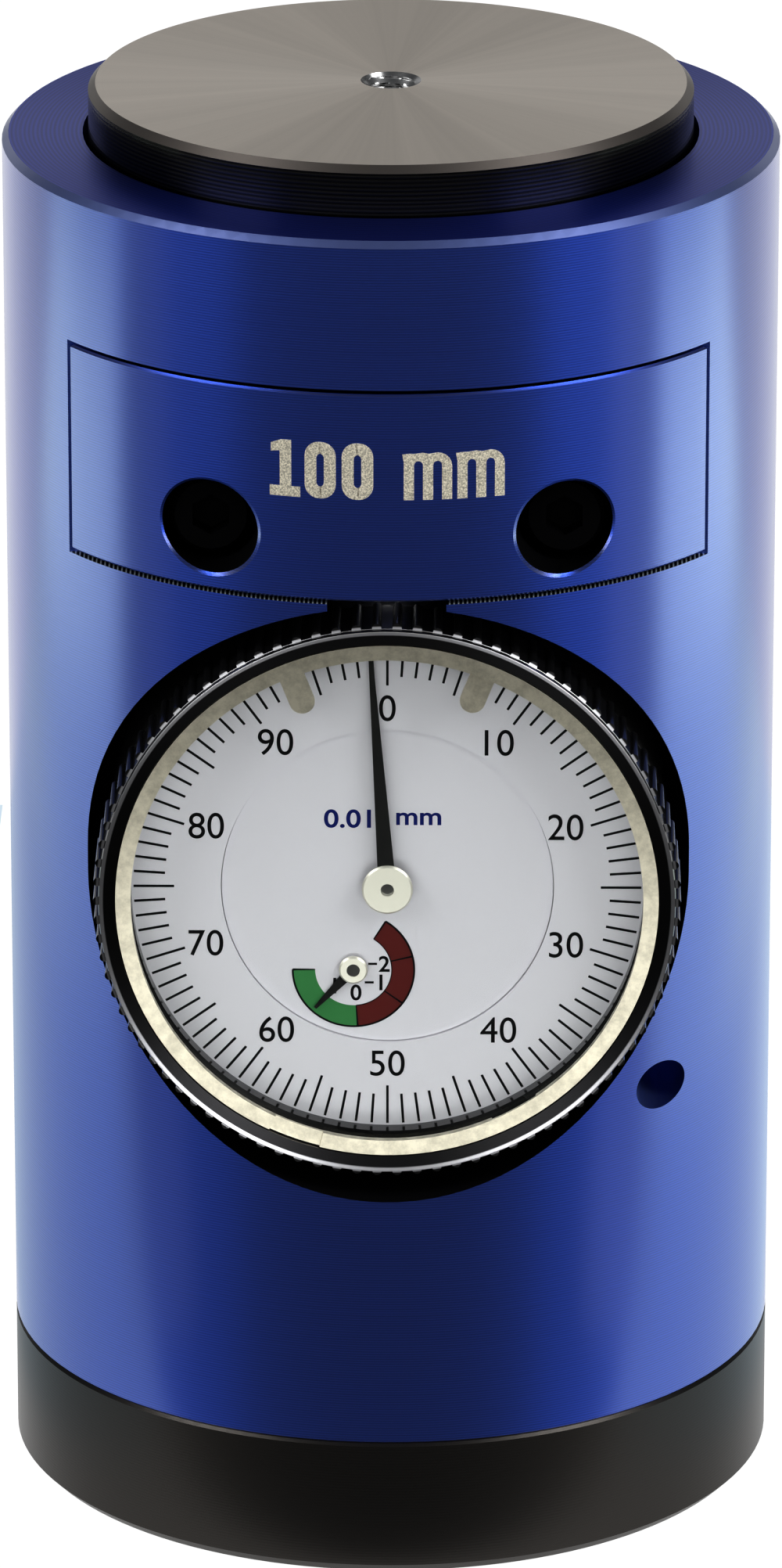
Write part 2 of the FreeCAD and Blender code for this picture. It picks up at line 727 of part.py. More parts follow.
def make_case():
    inner = "(case_radius - case_wall)"
    inside = "(wall_front - wall_thickness)"
    body = new_body("gauge_case", "dial")
    revolve(body, "cup", [
        ("0", inside),
        (NECK_BORE, inside),
        (NECK_BORE, "case_shoulder - case_wall"),
        (inner, "case_shoulder - case_wall"),
        (inner, "-case_back_depth"),
        ("case_radius", "-case_back_depth"),
        ("case_radius", "case_shoulder"),
        ("neck_radius", "case_shoulder"),
        ("neck_radius", "wire_depth - wire_radius - fit_gap"),
        ("neck_radius - 2 * (wire_radius + fit_gap)", "wire_depth - wire_radius - fit_gap"),
        ("neck_radius - 2 * (wire_radius + fit_gap)", "wire_depth + wire_radius + fit_gap"),
        ("neck_radius", "wire_depth + wire_radius + fit_gap"),
        ("neck_radius", "wall_front"),
        ("0", "wall_front"),
    ])
    boss = circles(body, "boss_circle", "XZ_Plane", [("0", "0")], "guide_boss_radius",
                   f"{inner} - guide_boss_height")
    pad(body, "spindle_boss", boss, "guide_boss_height + case_wall / 2")
    low_spot = circles(body, "cap_spot", "XZ_Plane", [("0", "0")], "cap_radius + stem_clearance", SPOT)
    pocket(body, "cap_seat", low_spot, "case_wall", reverse=True)
    high_spot = circles(body, "stem_spot", "XZ_Plane", [("0", "0")], "stem_radius + stem_clearance",
                        f"-{SPOT}")
    pocket(body, "stem_seat", high_spot, "case_wall")
    spindle = circles(body, "spindle_drill", "XZ_Plane", [("0", "0")], "spindle_radius + running_gap",
                      "case_radius")
    pocket(body, "spindle_hole", spindle, "case_wall + guide_boss_height + drill_room")
    spigot = circles(body, "spigot_drill", "XZ_Plane", [("0", "0")], "stem_spigot_radius + fit_gap",
                     "-case_radius")
    pocket(body, "stem_spigot_hole", spigot, "case_wall + drill_room", reverse=True)
    arbors = new_sketch(body, "arbor_drill", "XY_Plane", "wall_front")
    add_circle(arbors, "0", "0", "2 * arbor_radius")
    add_circle(arbors, "-counter_across", "-counter_drop", "2 * arbor_radius")
    pocket(body, "arbor_holes", arbors, "wall_thickness")
    taps = circles(body, "plate_taps", "XY_Plane", PILLARS, "plate_screw_radius + fit_gap", "wall_front")
    pocket(body, "plate_screw_holes", taps, "wall_thickness")
    backs = circles(body, "back_taps", "XY_Plane", BACK_BOLTS, "back_screw_radius + fit_gap",
                    "-case_back_depth")
    pocket(body, "back_screw_holes", backs, "back_screw_reach + pin_room", reverse=True)
    return body


def make_back():
    body = new_body("gauge_back", "dial")
    disc = circles(body, "disc", "XY_Plane", [("0", "0")], BACK_RADIUS, "-case_back_depth")
    pad(body, "plate", disc, "back_thickness", reverse=True)
    holes = circles(body, "screw_drill", "XY_Plane", BACK_BOLTS, "back_screw_radius + fit_gap",
                    "-case_back_depth")
    pocket(body, "screw_holes", holes, "back_thickness")
    sinks = circles(body, "head_drill", "XY_Plane", BACK_BOLTS, "back_head_radius + fit_gap",
                    "-case_back_depth - back_thickness")
    pocket(body, "head_sinks", sinks, "back_thickness / 2", reverse=True)
    return body


def make_back_screws():
    body = new_body("back_screws", "dial")
    outer = "(-case_back_depth - back_thickness)"
    heads = circles(body, "heads", "XY_Plane", BACK_BOLTS, "back_head_radius", outer)
    pad(body, "head", heads, "back_thickness / 2")
    shanks = circles(body, "shanks", "XY_Plane", BACK_BOLTS, "back_screw_radius", outer)
    pad(body, "shank", shanks, "back_thickness + back_screw_reach")
    slots = new_sketch(body, "slots", "XY_Plane", outer)
    for across, up in BACK_BOLTS:
        add_outline(slots, rectangle(f"{across} - back_head_radius", f"{up} - driver_slot_half",
                                     f"{across} + back_head_radius", f"{up} + driver_slot_half"))
    pocket(body, "driver_slots", slots, "back_thickness / 4", reverse=True)
    return body


def make_stem():
    body = new_body("gauge_stem", "stem")
    inner = "(spindle_radius + running_gap)"
    revolve(body, "tube", [
        (inner, "case_radius - case_wall"),
        ("stem_spigot_radius", "case_radius - case_wall"),
        ("stem_spigot_radius", SPOT),
        ("stem_radius", SPOT),
        ("stem_radius", f"{STEM_HEAD} - head_edge"),
        ("stem_radius - head_edge", STEM_HEAD),
        (inner, STEM_HEAD),
    ])
    return body


def make_end_cap():
    body = new_body("end_cap", "stem")
    inner = "(spindle_radius + stem_clearance)"
    foot = f"(-{SPOT} - cap_height)"
    revolve(body, "cup", [
        ("0", foot),
        ("cap_radius - head_edge", foot),
        ("cap_radius", f"{foot} + head_edge"),
        ("cap_radius", f"-{SPOT}"),
        (inner, f"-{SPOT}"),
        (inner, f"{foot} + cap_wall"),
        ("0", f"{foot} + cap_wall"),
    ])
    return body


def make_spindle():
    """The plunger with its rack: a flat at the tooth tips, then straight-flanked grooves."""
    body = new_body("rack_spindle", "stem")
    revolve(body, "rod", [
        ("0", f"-{SPINDLE_FOOT}"),
        ("spindle_radius", f"-{SPINDLE_FOOT}"),
        ("spindle_radius", SPINDLE_HEAD),
        ("contact_thread + fit_gap", SPINDLE_HEAD),
        ("contact_thread + fit_gap", f"{SPINDLE_HEAD} - contact_thread_length"),
        ("0", f"{SPINDLE_HEAD} - contact_thread_length"),
    ])
    tip = "(counter_across - rack_pitch * rack_teeth / (2 * pi) + rack_tip_share * rack_pitch / pi)"
    root = "(counter_across - rack_pitch * rack_teeth / (2 * pi) - rack_root_share * rack_pitch / pi)"
    flat = new_sketch(body, "rack_flat", "XZ_Plane", "-spindle_radius")
    add_outline(flat, rectangle(tip, "rack_foot", "spindle_radius + drill_room",
                                "rack_foot + rack_grooves * rack_pitch"))
    pocket(body, "rack_land", flat, "2 * spindle_radius", reverse=True)
    groove = new_sketch(body, "rack_groove", "XZ_Plane", "-spindle_radius")
    middle = "(counter_drop - 3 * rack_pitch)"
    add_outline(groove, [
        (root, f"{middle} - rack_floor_share * rack_pitch"),
        (tip, f"{middle} - rack_mouth_share * rack_pitch"),
        ("spindle_radius", f"{middle} - rack_mouth_share * rack_pitch"),
        ("spindle_radius", f"{middle} + rack_mouth_share * rack_pitch"),
        (tip, f"{middle} + rack_mouth_share * rack_pitch"),
        (root, f"{middle} + rack_floor_share * rack_pitch"),
    ])
    first = pocket(body, "rack_cut", groove, "2 * spindle_radius", reverse=True)
    pattern = body.newObject("PartDesign::LinearPattern", "rack_cuts")
    pattern.Originals = [first]
    pattern.Direction = (groove, ["V_Axis"])
    pattern.Mode = "Spacing"
    bind(pattern, "Offset", "rack_pitch")
    bind(pattern, "Occurrences", "rack_grooves - 1")
    body.Tip = pattern
    return body


def make_contact():
    body = new_body("contact_point", "stem")
    low = SPINDLE_HEAD
    high = f"({SPINDLE_HEAD} + contact_height)"
    revolve(body, "turned", [
        ("0", f"{low} - contact_thread_length + fit_gap"),
        ("contact_thread", f"{low} - contact_thread_length + fit_gap"),
        ("contact_thread", low),
        ("contact_radius", low),
        ("contact_radius", f"{low} + contact_height / 2"),
        ("contact_radius * 0.72", f"{low} + contact_height * 0.66"),
        ("contact_radius * 0.66", f"{high} - contact_radius * 0.5"),
        ("contact_radius * 0.48", f"{high} - contact_radius * 0.2"),
        ("contact_radius * 0.2", high),
        ("0", high),
    ])
    return body


def make_guide_pin():
    body = new_body("spindle_pin", "stem")
    pin = circles(body, "section", "YZ_Plane", [("0", "-guide_pin_drop")], "guide_pin_radius",
                  "-guide_pin_reach")
    pad(body, "pin", pin, "guide_pin_reach - spindle_radius")
    return body


def make_guide_rail():
    """The slotted rail on the back cover that keeps the spindle from turning."""
    body = new_body("guide_rail", "dial")
    foot = "(-guide_pin_drop - anvil_travel - guide_pin_radius - rail_end)"
    head = "(-guide_pin_drop + guide_pin_radius + rail_end)"
    block = new_sketch(body, "block_outline", "XY_Plane", "-case_back_depth")
    add_outline(block, rectangle("-rail_across - rail_half", foot, "-rail_across + rail_half", head))
    pad(body, "block", block, "case_back_depth + rail_top")
    slot = new_sketch(body, "slot_outline", "YZ_Plane", "-rail_across - rail_half")
    half = "(guide_pin_radius + rail_slot_gap)"
    low = "(-guide_pin_drop - anvil_travel - 2 * guide_pin_radius)"
    add_outline(slot, rectangle(low, f"-{half}", "-guide_pin_drop + 2 * guide_pin_radius", half))
    pocket(body, "slot", slot, "2 * rail_half", reverse=True)
    return body


def make_post():
    body = new_body("spring_post", "dial")
    disc = circles(body, "section", "XY_Plane", [("-plunger_spring_across", "post_rise")], "post_radius",
                   "-case_back_depth")
    pad(body, "post", disc, "case_back_depth + plunger_spring_radius")
    return body


def make_plunger_spring():
    foot = -num("guide_pin_drop") + num("guide_pin_radius") + num("plunger_spring_gap")
    length = num("post_rise") - num("post_radius") - num("plunger_spring_gap") - foot
    spring = coil(num("plunger_spring_radius"), num("plunger_spring_wire"), length,
                  num("plunger_spring_turns"))
    spring.translate(Vector(-num("plunger_spring_across"), 0, foot))
    return solid_feature("plunger_spring", spring, "stem")


def make_plate(label, depth):
    body = new_body(label, "dial")
    disc = circles(body, "disc", "XY_Plane", [("0", "0")], "plate_radius", depth)
    pad(body, "plate", disc, "plate_thickness")
    holes = circles(body, "screw_drill", "XY_Plane", PILLARS, "plate_screw_radius + fit_gap", depth)
    pocket(body, "screw_holes", holes, "plate_thickness", reverse=True)
    pivots = new_sketch(body, "pivot_drill", "XY_Plane", depth)
    for across, up in (("0", "0"), ("counter_across", "counter_drop"), ("-counter_across", "-counter_drop")):
        add_circle(pivots, across, up, "arbor_radius + pivot_gap")
    pocket(body, "pivot_holes", pivots, "plate_thickness", reverse=True)
    return body


def make_pillars():
    body = new_body("movement_pillars", "dial")
    low = "(rear_plate_depth + plate_thickness)"
    discs = circles(body, "discs", "XY_Plane", PILLARS, "pillar_radius", low)
    pad(body, "pillar", discs, f"front_plate_depth - {low}")
    bores = circles(body, "bores", "XY_Plane", PILLARS, "plate_screw_radius + fit_gap", low)
    pocket(body, "bore", bores, f"front_plate_depth - {low}", reverse=True)
    return body


def make_plate_screws():
    body = new_body("plate_screws", "dial")
    heads = circles(body, "heads", "XY_Plane", PILLARS, "plate_head_radius", "rear_plate_depth")
    pad(body, "head", heads, "plate_head_height", reverse=True)
    shanks = circles(body, "shanks", "XY_Plane", PILLARS, "plate_screw_radius", "rear_plate_depth")
    pad(body, "shank", shanks, "wall_front - rear_plate_depth")
    slots = new_sketch(body, "slots", "XY_Plane", "rear_plate_depth - plate_head_height")
    for across, up in PILLARS:
        add_outline(slots, rectangle(f"{across} - plate_head_radius", f"{up} - driver_slot_half",
                                     f"{across} + plate_head_radius", f"{up} + driver_slot_half"))
    pocket(body, "driver_slots", slots, "plate_head_height / 2", reverse=True)
    return body


def make_cock():
    """The bracket behind the spindle that carries the rack pinion's rear pivot."""
    body = new_body("pinion_cock", "dial")
    low = "(-cock_depth)"
    bar = new_sketch(body, "bar_outline", "XY_Plane", low)
    left = "(counter_across - cock_half_width)"
    bottom = "(counter_drop - cock_half_width)"
    top = "(counter_drop + cock_half_width)"
    add_outline(bar, rectangle(left, bottom, "cock_reach", top))
    pad(body, "bar", bar, "cock_thickness")
    leg = new_sketch(body, "leg_outline", "XY_Plane", low)
    add_outline(leg, rectangle("cock_reach - cock_leg", bottom, "cock_reach", top))
    pad(body, "leg", leg, "cock_depth + rear_plate_depth")
    pivot = circles(body, "pivot_drill", "XY_Plane", [("counter_across", "counter_drop")],
                    "arbor_radius + pivot_gap", low)
    pocket(body, "pivot_hole", pivot, "cock_thickness", reverse=True)
    return body


# Gears: each tooth form is its addendum, dedendum and thinning, as shares of the module

PRESSURE_ANGLE = 20
WHEEL_FORM = (0.6, 1.3, 0.16)
CENTRE_FORM = (1.0, 0.9, 0.16)
RACK_FORM = (1.0, 0.9, 0.14)
WHEEL_RIM_SHARE = 2.6


def involute_point(base, radius, half_width_angle):
    """A point of a tooth's right flank, for a tooth that points along +X."""
    ratio = max(1.0, radius / base)
    spread = math.sqrt(ratio * ratio - 1.0)
    angle = half_width_angle - (spread - math.atan(spread))
    return radius, angle


def gear_outline(teeth, module, form, flank_steps, turn):
    """Corners of an involute gear: a tooth points along the angle 'turn'."""
    addendum, dedendum, thinning = form
    pressure = math.radians(PRESSURE_ANGLE)
    pitch_radius = module * teeth / 2
    base = pitch_radius * math.cos(pressure)
    root = pitch_radius - dedendum * module
    tip = pitch_radius + addendum * module
    flank_angle = math.pi / (2 * teeth) * (1 - thinning) + math.tan(pressure) - pressure
    start = max(base, root)
    radii = [start + (tip - start) * i / flank_steps for i in range(flank_steps + 1)]
    flank = [involute_point(base, radius, flank_angle) for radius in radii]
    if root < base:
        flank.insert(0, (root, flank_angle))
    corners = []
    for tooth in range(teeth):
        middle = math.radians(turn) + 2 * math.pi * tooth / teeth
        for radius, angle in flank:
            corners.append(Vector(radius * math.cos(middle - angle), radius * math.sin(middle - angle), 0))
        for radius, angle in reversed(flank):
            corners.append(Vector(radius * math.cos(middle + angle), radius * math.sin(middle + angle), 0))
    return corners


def prism(corners, height):
    face = Part.Face(Part.makePolygon(corners + corners[:1]))
    return face.extrude(Vector(0, 0, height))


def gear_module():
    """Module of the two wheels and the centre pinion, set by the distance between their arbors."""
    distance = math.hypot(num("counter_across"), num("counter_drop"))
    return 2 * distance / (num("wheel_teeth") + num("centre_teeth"))


def arbor_line():
    """Direction from the centre arbor to the rack pinion's, in degrees."""
    return math.degrees(math.atan2(num("counter_drop"), num("counter_across")))


def make_wheel(label, side):
    """A thin wheel with four windows; side is 1 for the rack pinion's arbor and -1 for the counter's."""
    teeth = int(num("wheel_teeth"))
    module = gear_module()
    facing = arbor_line() + (180 if side > 0 else 0)
    turn = facing + 180.0 / teeth
    wheel = prism(gear_outline(teeth, module, WHEEL_FORM, 1, turn), num("wheel_thickness"))
    rim = module * teeth / 2 - WHEEL_RIM_SHARE * module
    hub = 3 * num("arbor_radius")
    ring = Part.makeCylinder(rim, num("wheel_thickness")).cut(Part.makeCylinder(hub, num("wheel_thickness")))
    spoke = Part.makeBox(2 * rim, hub, num("wheel_thickness"), Vector(-rim, -hub / 2, 0))
    cross = spoke.copy()
    cross.rotate(Vector(), Vector(0, 0, 1), 90)
    wheel = wheel.cut(ring.cut(spoke).cut(cross))
    wheel = wheel.cut(Part.makeCylinder(num("arbor_radius") + num("fit_gap"), num("wheel_thickness")))
    place = Vector(side * num("counter_across"), side * num("counter_drop"), num("wheel_depth"))
    wheel.translate(place)
    return solid_feature(label, wheel, "dial")


def turned(steps):
    """A stepped round rod from (radius, low, high) steps along +Z."""
    rods = [Part.makeCylinder(radius, high - low, Vector(0, 0, low)) for radius, low, high in steps]
    return rods[0].fuse(rods[1:]).removeSplitter() if len(rods) > 1 else rods[0]


def make_rack_pinion():
    teeth = int(num("rack_teeth"))
    module = num("rack_pitch") / math.pi
    half = num("rack_pinion_half")
    pinion = prism(gear_outline(teeth, module, RACK_FORM, 3, 180.0), 2 * half)
    pinion.translate(Vector(0, 0, -half))
    front = num("front_plate_depth") + num("plate_thickness")
    arbor = turned([(num("arbor_radius"), -num("cock_depth"), front)])
    shape = arbor.fuse(pinion)
    shape.translate(Vector(num("counter_across"), num("counter_drop"), 0))
    return solid_feature("rack_pinion", shape, "dial")


def make_centre_pinion():
    teeth = int(num("centre_teeth"))
    pinion = prism(gear_outline(teeth, gear_module(), CENTRE_FORM, 3, arbor_line()),
                   num("centre_pinion_length"))
    pinion.translate(Vector(0, 0, num("centre_pinion_depth")))
    arbor = turned([(num("arbor_radius"), num("rear_plate_depth"), num("hub_front") - num("hub_sink"))])
    return solid_feature("centre_pinion", arbor.fuse(pinion), "dial")


def make_counter_arbor():
    foot = num("rear_plate_depth")
    hairspring_foot = num("hairspring_depth")
    collet = num("hairspring_inner") - num("running_gap") - num("hairspring_wall")
    steps = [(num("arbor_radius"), foot, num("counter_hub_front") - num("counter_hub_sink")),
             (collet, hairspring_foot, hairspring_foot + num("hairspring_height"))]
    shape = turned(steps)
    shape.translate(Vector(-num("counter_across"), -num("counter_drop"), 0))
    return solid_feature("counter_arbor", shape, "dial")


def make_hairspring():
    """A flat spiral with its outer end on a stud in the front plate."""
    turns = num("hairspring_turns")
    inner = num("hairspring_inner")
    outer = num("hairspring_outer")
    wall = num("hairspring_wall")
    steps = int(16 * turns)
    inside = []
    outside = []
    for step in range(steps + 1):
        angle = 2 * math.pi * turns * step / steps
        radius = inner + (outer - inner) * step / steps
        inside.append(Vector(radius * math.cos(angle), radius * math.sin(angle), 0))
        outside.append(Vector((radius + wall) * math.cos(angle), (radius + wall) * math.sin(angle), 0))
    spiral = prism(inside + outside[::-1], num("hairspring_height"))
    stud_height = num("front_plate_depth") - num("hairspring_depth")
    stud = Part.makeCylinder(num("hairspring_stud"), stud_height, Vector(outer + wall / 2, 0, 0))
    shape = spiral.fuse(stud)
    shape.translate(Vector(-num("counter_across"), -num("counter_drop"), num("hairspring_depth")))
    return solid_feature("hairspring", shape, "dial")


# Hands and dials

def make_hand(label, centre, angle, back, thickness, reach, base_half, tip_half, hub_radius):
    body = new_body(label, "dial")
    blade = new_sketch(body, "blade_outline", "XY_Plane", back)
    across, up = centre
    direction = f"({angle} + 90)"
    corners = []
    for along, side in (("0", base_half), (reach, tip_half), (reach, f"-{tip_half}"), ("0", f"-{base_half}")):
        corners.append((f"{across} + {along} * cos{direction} - {side} * sin{direction}",
                        f"{up} + {along} * sin{direction} + {side} * cos{direction}"))
    add_outline(blade, corners)
    pad(body, "blade", blade, thickness)
    disc = circles(body, "boss_circle", "XY_Plane", [centre], f"{hub_radius} * 0.8", back)
    pad(body, "boss", disc, thickness)
    hole = circles(body, "arbor_drill", "XY_Plane", [centre], "arbor_radius + fit_gap", back)
    pocket(body, "arbor_hole", hole, thickness, reverse=True)
    return body


def make_hub(label, centre, radius, back, front):
    body = new_body(label, "dial")
    disc = circles(body, "disc", "XY_Plane", [centre], radius, back)
    pad(body, "hub", disc, f"{front} - ({back})")
    front_height = num("hub_front") if label == "main_hub" else num("counter_hub_front")
    chamfer(body, "hub_edge", rims(body, lambda edge: abs(edge.Curve.Center.z - front_height) < 1e-4),
            "hub_edge")
    hole = circles(body, "arbor_drill", "XY_Plane", [centre], "arbor_radius + fit_gap", back)
    pocket(body, "arbor_hole", hole, f"{front} - ({back})", reverse=True)
    return body


def make_centre_dial():
    body = new_body("centre_dial", "dial")
    disc = circles(body, "disc", "XY_Plane", [("0", "0")], "scale_bore - dial_gap", "wall_front")
    pad(body, "dial", disc, "dial_front - wall_front")
    holes = new_sketch(body, "arbor_drill", "XY_Plane", "wall_front")
    add_circle(holes, "0", "0", "2 * arbor_radius")
    add_circle(holes, "-counter_across", "-counter_drop", "1.5 * arbor_radius")
    pocket(body, "arbor_holes", holes, "dial_front - wall_front", reverse=True)
    return body


def make_scale_ring():
    body = new_body("scale_ring", "dial")
    revolve(body, "ring", rectangle("scale_bore", SCALE_BACK, SCALE_RADIUS, "scale_front"))
    return body


def make_crystal():
    body = new_body("crystal", "dial")
    disc = circles(body, "disc", "XY_Plane", [("0", "0")], CRYSTAL_RADIUS, "crystal_back")
    pad(body, "pane", disc, "crystal_thickness")
    return body


def knurl_outline(valley, bump, share, teeth, radius_inside):
    """A ring whose outside carries small round bumps, each an arc between two stretches of the ring."""
    edges = []
    pitch = 2 * math.pi / teeth
    half = pitch * share / 2

    def on_ring(radius, angle):
        return Vector(radius * math.cos(angle), radius * math.sin(angle), 0)

    for tooth in range(teeth):
        middle = pitch * tooth
        start = on_ring(valley, middle - half)
        crest = on_ring(valley + bump, middle)
        end = on_ring(valley, middle + half)
        after = on_ring(valley, middle + pitch - half)
        edges.append(Part.Arc(start, crest, end).toShape())
        edges.append(Part.makeLine(end, after))
    outside = Part.Wire(edges)
    inside = Part.Wire(Part.makeCircle(radius_inside))
    return Part.makeFace([outside, inside], "Part::FaceMakerBullseye")


def make_bezel():
    """The bezel: a turned ring, stepped inside for its crystal and scale, with a toothed grip outside."""
    core = new_body("bezel_core", "dial")
    seat = f"({CRYSTAL_RADIUS} + dial_gap)"
    rim = f"({GRIP_VALLEY} - rim_inset)"
    skirt = "(neck_radius + skirt_wall)"
    revolve(core, "turned_ring", [
        (seat, "crystal_back"),
        (seat, "bevel_foot"),
        (f"{rim} - rim_land", "bezel_front"),
        (rim, "bezel_front"),
        (f"{GRIP_VALLEY} - grip_inset", "bezel_front - rim_slope"),
        (f"{GRIP_VALLEY} - grip_inset", "knurl_front - rim_land"),
        (skirt, "knurl_front - rim_land"),
        (skirt, "bezel_back"),
        ("neck_radius + dial_gap", "bezel_back"),
        ("neck_radius + dial_gap", SCALE_BACK),
        (f"{SCALE_RADIUS} + fit_gap", SCALE_BACK),
        (f"{SCALE_RADIUS} + fit_gap", "scale_front"),
        (SIGHT_RADIUS, "scale_front"),
        (SIGHT_RADIUS, "crystal_back"),
    ])
    doc.recompute()
    valley = num("neck_radius") + num("grip_wall")
    inside = num("neck_radius") + (num("grip_wall") + num("crystal_lap")) / 2
    face = knurl_outline(valley, num("bezel_bump"), num("bezel_bump_share"), int(num("bezel_teeth")), inside)
    grip = face.extrude(Vector(0, 0, num("knurl_front") - num("knurl_back")))
    grip.translate(Vector(0, 0, num("knurl_back")))
    knurl = solid_feature("bezel_grip", grip, "dial")
    bezel = doc.addObject("Part::Fuse", "bezel")
    bezel.Label = "bezel"
    bezel.Base = core
    bezel.Tool = knurl
    return bezel


def make_marker(label, layer, tab_angle, slit_angle):
    """A thin split ring that turns in the bezel, with a round-ended tab that marks a limit."""
    body = new_body(label, "dial")
    low = f"({CRYSTAL_FRONT} + marker_gap + {layer} * (marker_thickness + marker_gap))"
    ring = new_sketch(body, "ring_outline", "XY_Plane", low)
    outer = f"({CRYSTAL_RADIUS} - marker_play)"
    add_circle(ring, "0", "0", outer)
    add_circle(ring, "0", "0", MARKER_BORE)
    pad(body, "ring", ring, "marker_thickness")
    tab = new_sketch(body, "tab_outline", "XY_Plane", low, tab_angle)
    add_tab(tab, "marker_tab_half", f"{MARKER_BORE} - marker_tab_length + marker_tab_half",
            f"{MARKER_BORE} + marker_tab_half / 4")
    pad(body, "tab", tab, "marker_thickness")
    slit = new_sketch(body, "slit_outline", "XY_Plane", low, slit_angle)
    reach = f"({outer} + drill_room)"
    add_outline(slit, [
        ("0", "0"),
        (f"{reach} * sin(marker_slit_half)", f"{reach} * cos(marker_slit_half)"),
        (f"-{reach} * sin(marker_slit_half)", f"{reach} * cos(marker_slit_half)"),
    ])
    pocket(body, "slit", slit, "marker_thickness", reverse=True)
    return body


def add_tab(sketch, half, low, high):
    """A tab along the sketch's Y axis: straight sides, a flat outer end and a round inner end."""
    side = num("marker_tab_half")
    far = num("neck_radius")
    near = far - num("marker_tab_length")
    circle = Part.Circle(Vector(0, near, 0), Vector(0, 0, 1), side)
    bottom = sketch.addGeometry(Part.ArcOfCircle(circle, math.pi, 2 * math.pi), False)
    right = sketch.addGeometry(Part.LineSegment(Vector(side, near, 0), Vector(side, far, 0)), False)
    top = sketch.addGeometry(Part.LineSegment(Vector(side, far, 0), Vector(-side, far, 0)), False)
    left = sketch.addGeometry(Part.LineSegment(Vector(-side, far, 0), Vector(-side, near, 0)), False)
    joints = ((bottom, 2, right, 1), (right, 2, top, 1), (top, 2, left, 1), (left, 2, bottom, 1))
    for a, a_end, b, b_end in joints:
        sketch.addConstraint(Sketcher.Constraint("Coincident", a, a_end, b, b_end))
    place_point(sketch, bottom, 3, "0", low)
    place_point(sketch, right, 1, half, low)
    place_point(sketch, top, 1, half, high)
    place_point(sketch, left, 1, f"-{half}", high)
    place_point(sketch, left, 2, up=low)


def make_bezel_wire():
    """The friction wire in the neck's groove, open at one side."""
    ring = Part.makeTorus(num("neck_radius") - num("wire_radius") - num("fit_gap"), num("wire_radius"),
                          Vector(0, 0, num("wire_depth")), Vector(0, 0, 1), -180, 180, num("wire_span_angle"))
    return solid_feature("bezel_wire", ring, "dial")


def build():
    pieces = [make_base(), make_base_screws(), make_housing(), make_cover(), make_cover_screws()]
    pieces += [make_anvil(), make_column(), make_collar_screw(), make_plug(), make_turn_pin()]
    pieces.append(make_tube("guide_bush", "bush_radius - fit_gap", "column_radius + running_gap",
                            BUSH_FOOT, RECESS_FLOOR))
    pieces.append(make_tube("stop_collar", "collar_radius", "column_neck_radius + fit_gap",
                            COLLAR_FOOT, COLLAR_TOP))
    pieces.append(make_return_spring())
    pieces += [make_case(), make_back(), make_back_screws(), make_stem(), make_end_cap()]
    pieces += [make_spindle(), make_contact(), make_guide_pin(), make_guide_rail(), make_post()]
    pieces.append(make_plunger_spring())
    pieces += [make_plate("front_plate", "front_plate_depth"), make_plate("rear_plate", "rear_plate_depth")]
    pieces += [make_pillars(), make_plate_screws(), make_cock()]
    pieces += [make_wheel("rack_wheel", 1), make_wheel("counter_wheel", -1)]
    pieces += [make_rack_pinion(), make_centre_pinion(), make_counter_arbor(), make_hairspring()]
    counter = ("-counter_across", "-counter_drop")
    pieces.append(make_hand("main_hand", ("0", "0"), "hand_angle", "hand_back", "hand_thickness",
                            f"({SIGHT_RADIUS} - hand_gap)", "hand_base_half", "hand_tip_half", "hub_radius"))
    pieces.append(make_hub("main_hub", ("0", "0"), "hub_radius", "hand_back + hand_thickness", "hub_front"))
    pieces.append(make_hand("counter_hand", counter, "counter_angle", "counter_hand_back",
                            "counter_hand_thickness", "counter_reach", "counter_base_half",
                            "counter_tip_half", "counter_hub_radius"))
    pieces.append(make_hub("counter_hub", counter, "counter_hub_radius",
                           "counter_hand_back + counter_hand_thickness", "counter_hub_front"))
    pieces += [make_centre_dial(), make_scale_ring(), make_bezel(), make_crystal(), make_bezel_wire()]
    pieces.append(make_marker("marker_left", "1", num("marker_left_angle"), num("marker_slit_angle")))
    pieces.append(make_marker("marker_right", "0", num("marker_right_angle"), num("rear_slit_angle")))
    return pieces


def check(pieces):
    """Stops the build if any object failed or any piece is not a sound solid."""
    doc.recompute()
    for thing in doc.Objects:
        if "Invalid" in thing.State or "Error" in thing.State:
            raise RuntimeError(f"{thing.Label} failed: {thing.State}")
    for piece in pieces:
        shape = piece.Shape
        if shape.isNull() or not shape.isValid() or not shape.Solids:
            raise RuntimeError(f"{piece.Label} is not a sound solid")


pieces = build()
check(pieces)
for piece in pieces:
    piece.Shape.exportStep(f"parts/{piece.Label}.step")
print(f"{len(pieces)} pieces")
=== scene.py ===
import json
import math

import bmesh
import bpy
from mathutils import Matrix, Vector

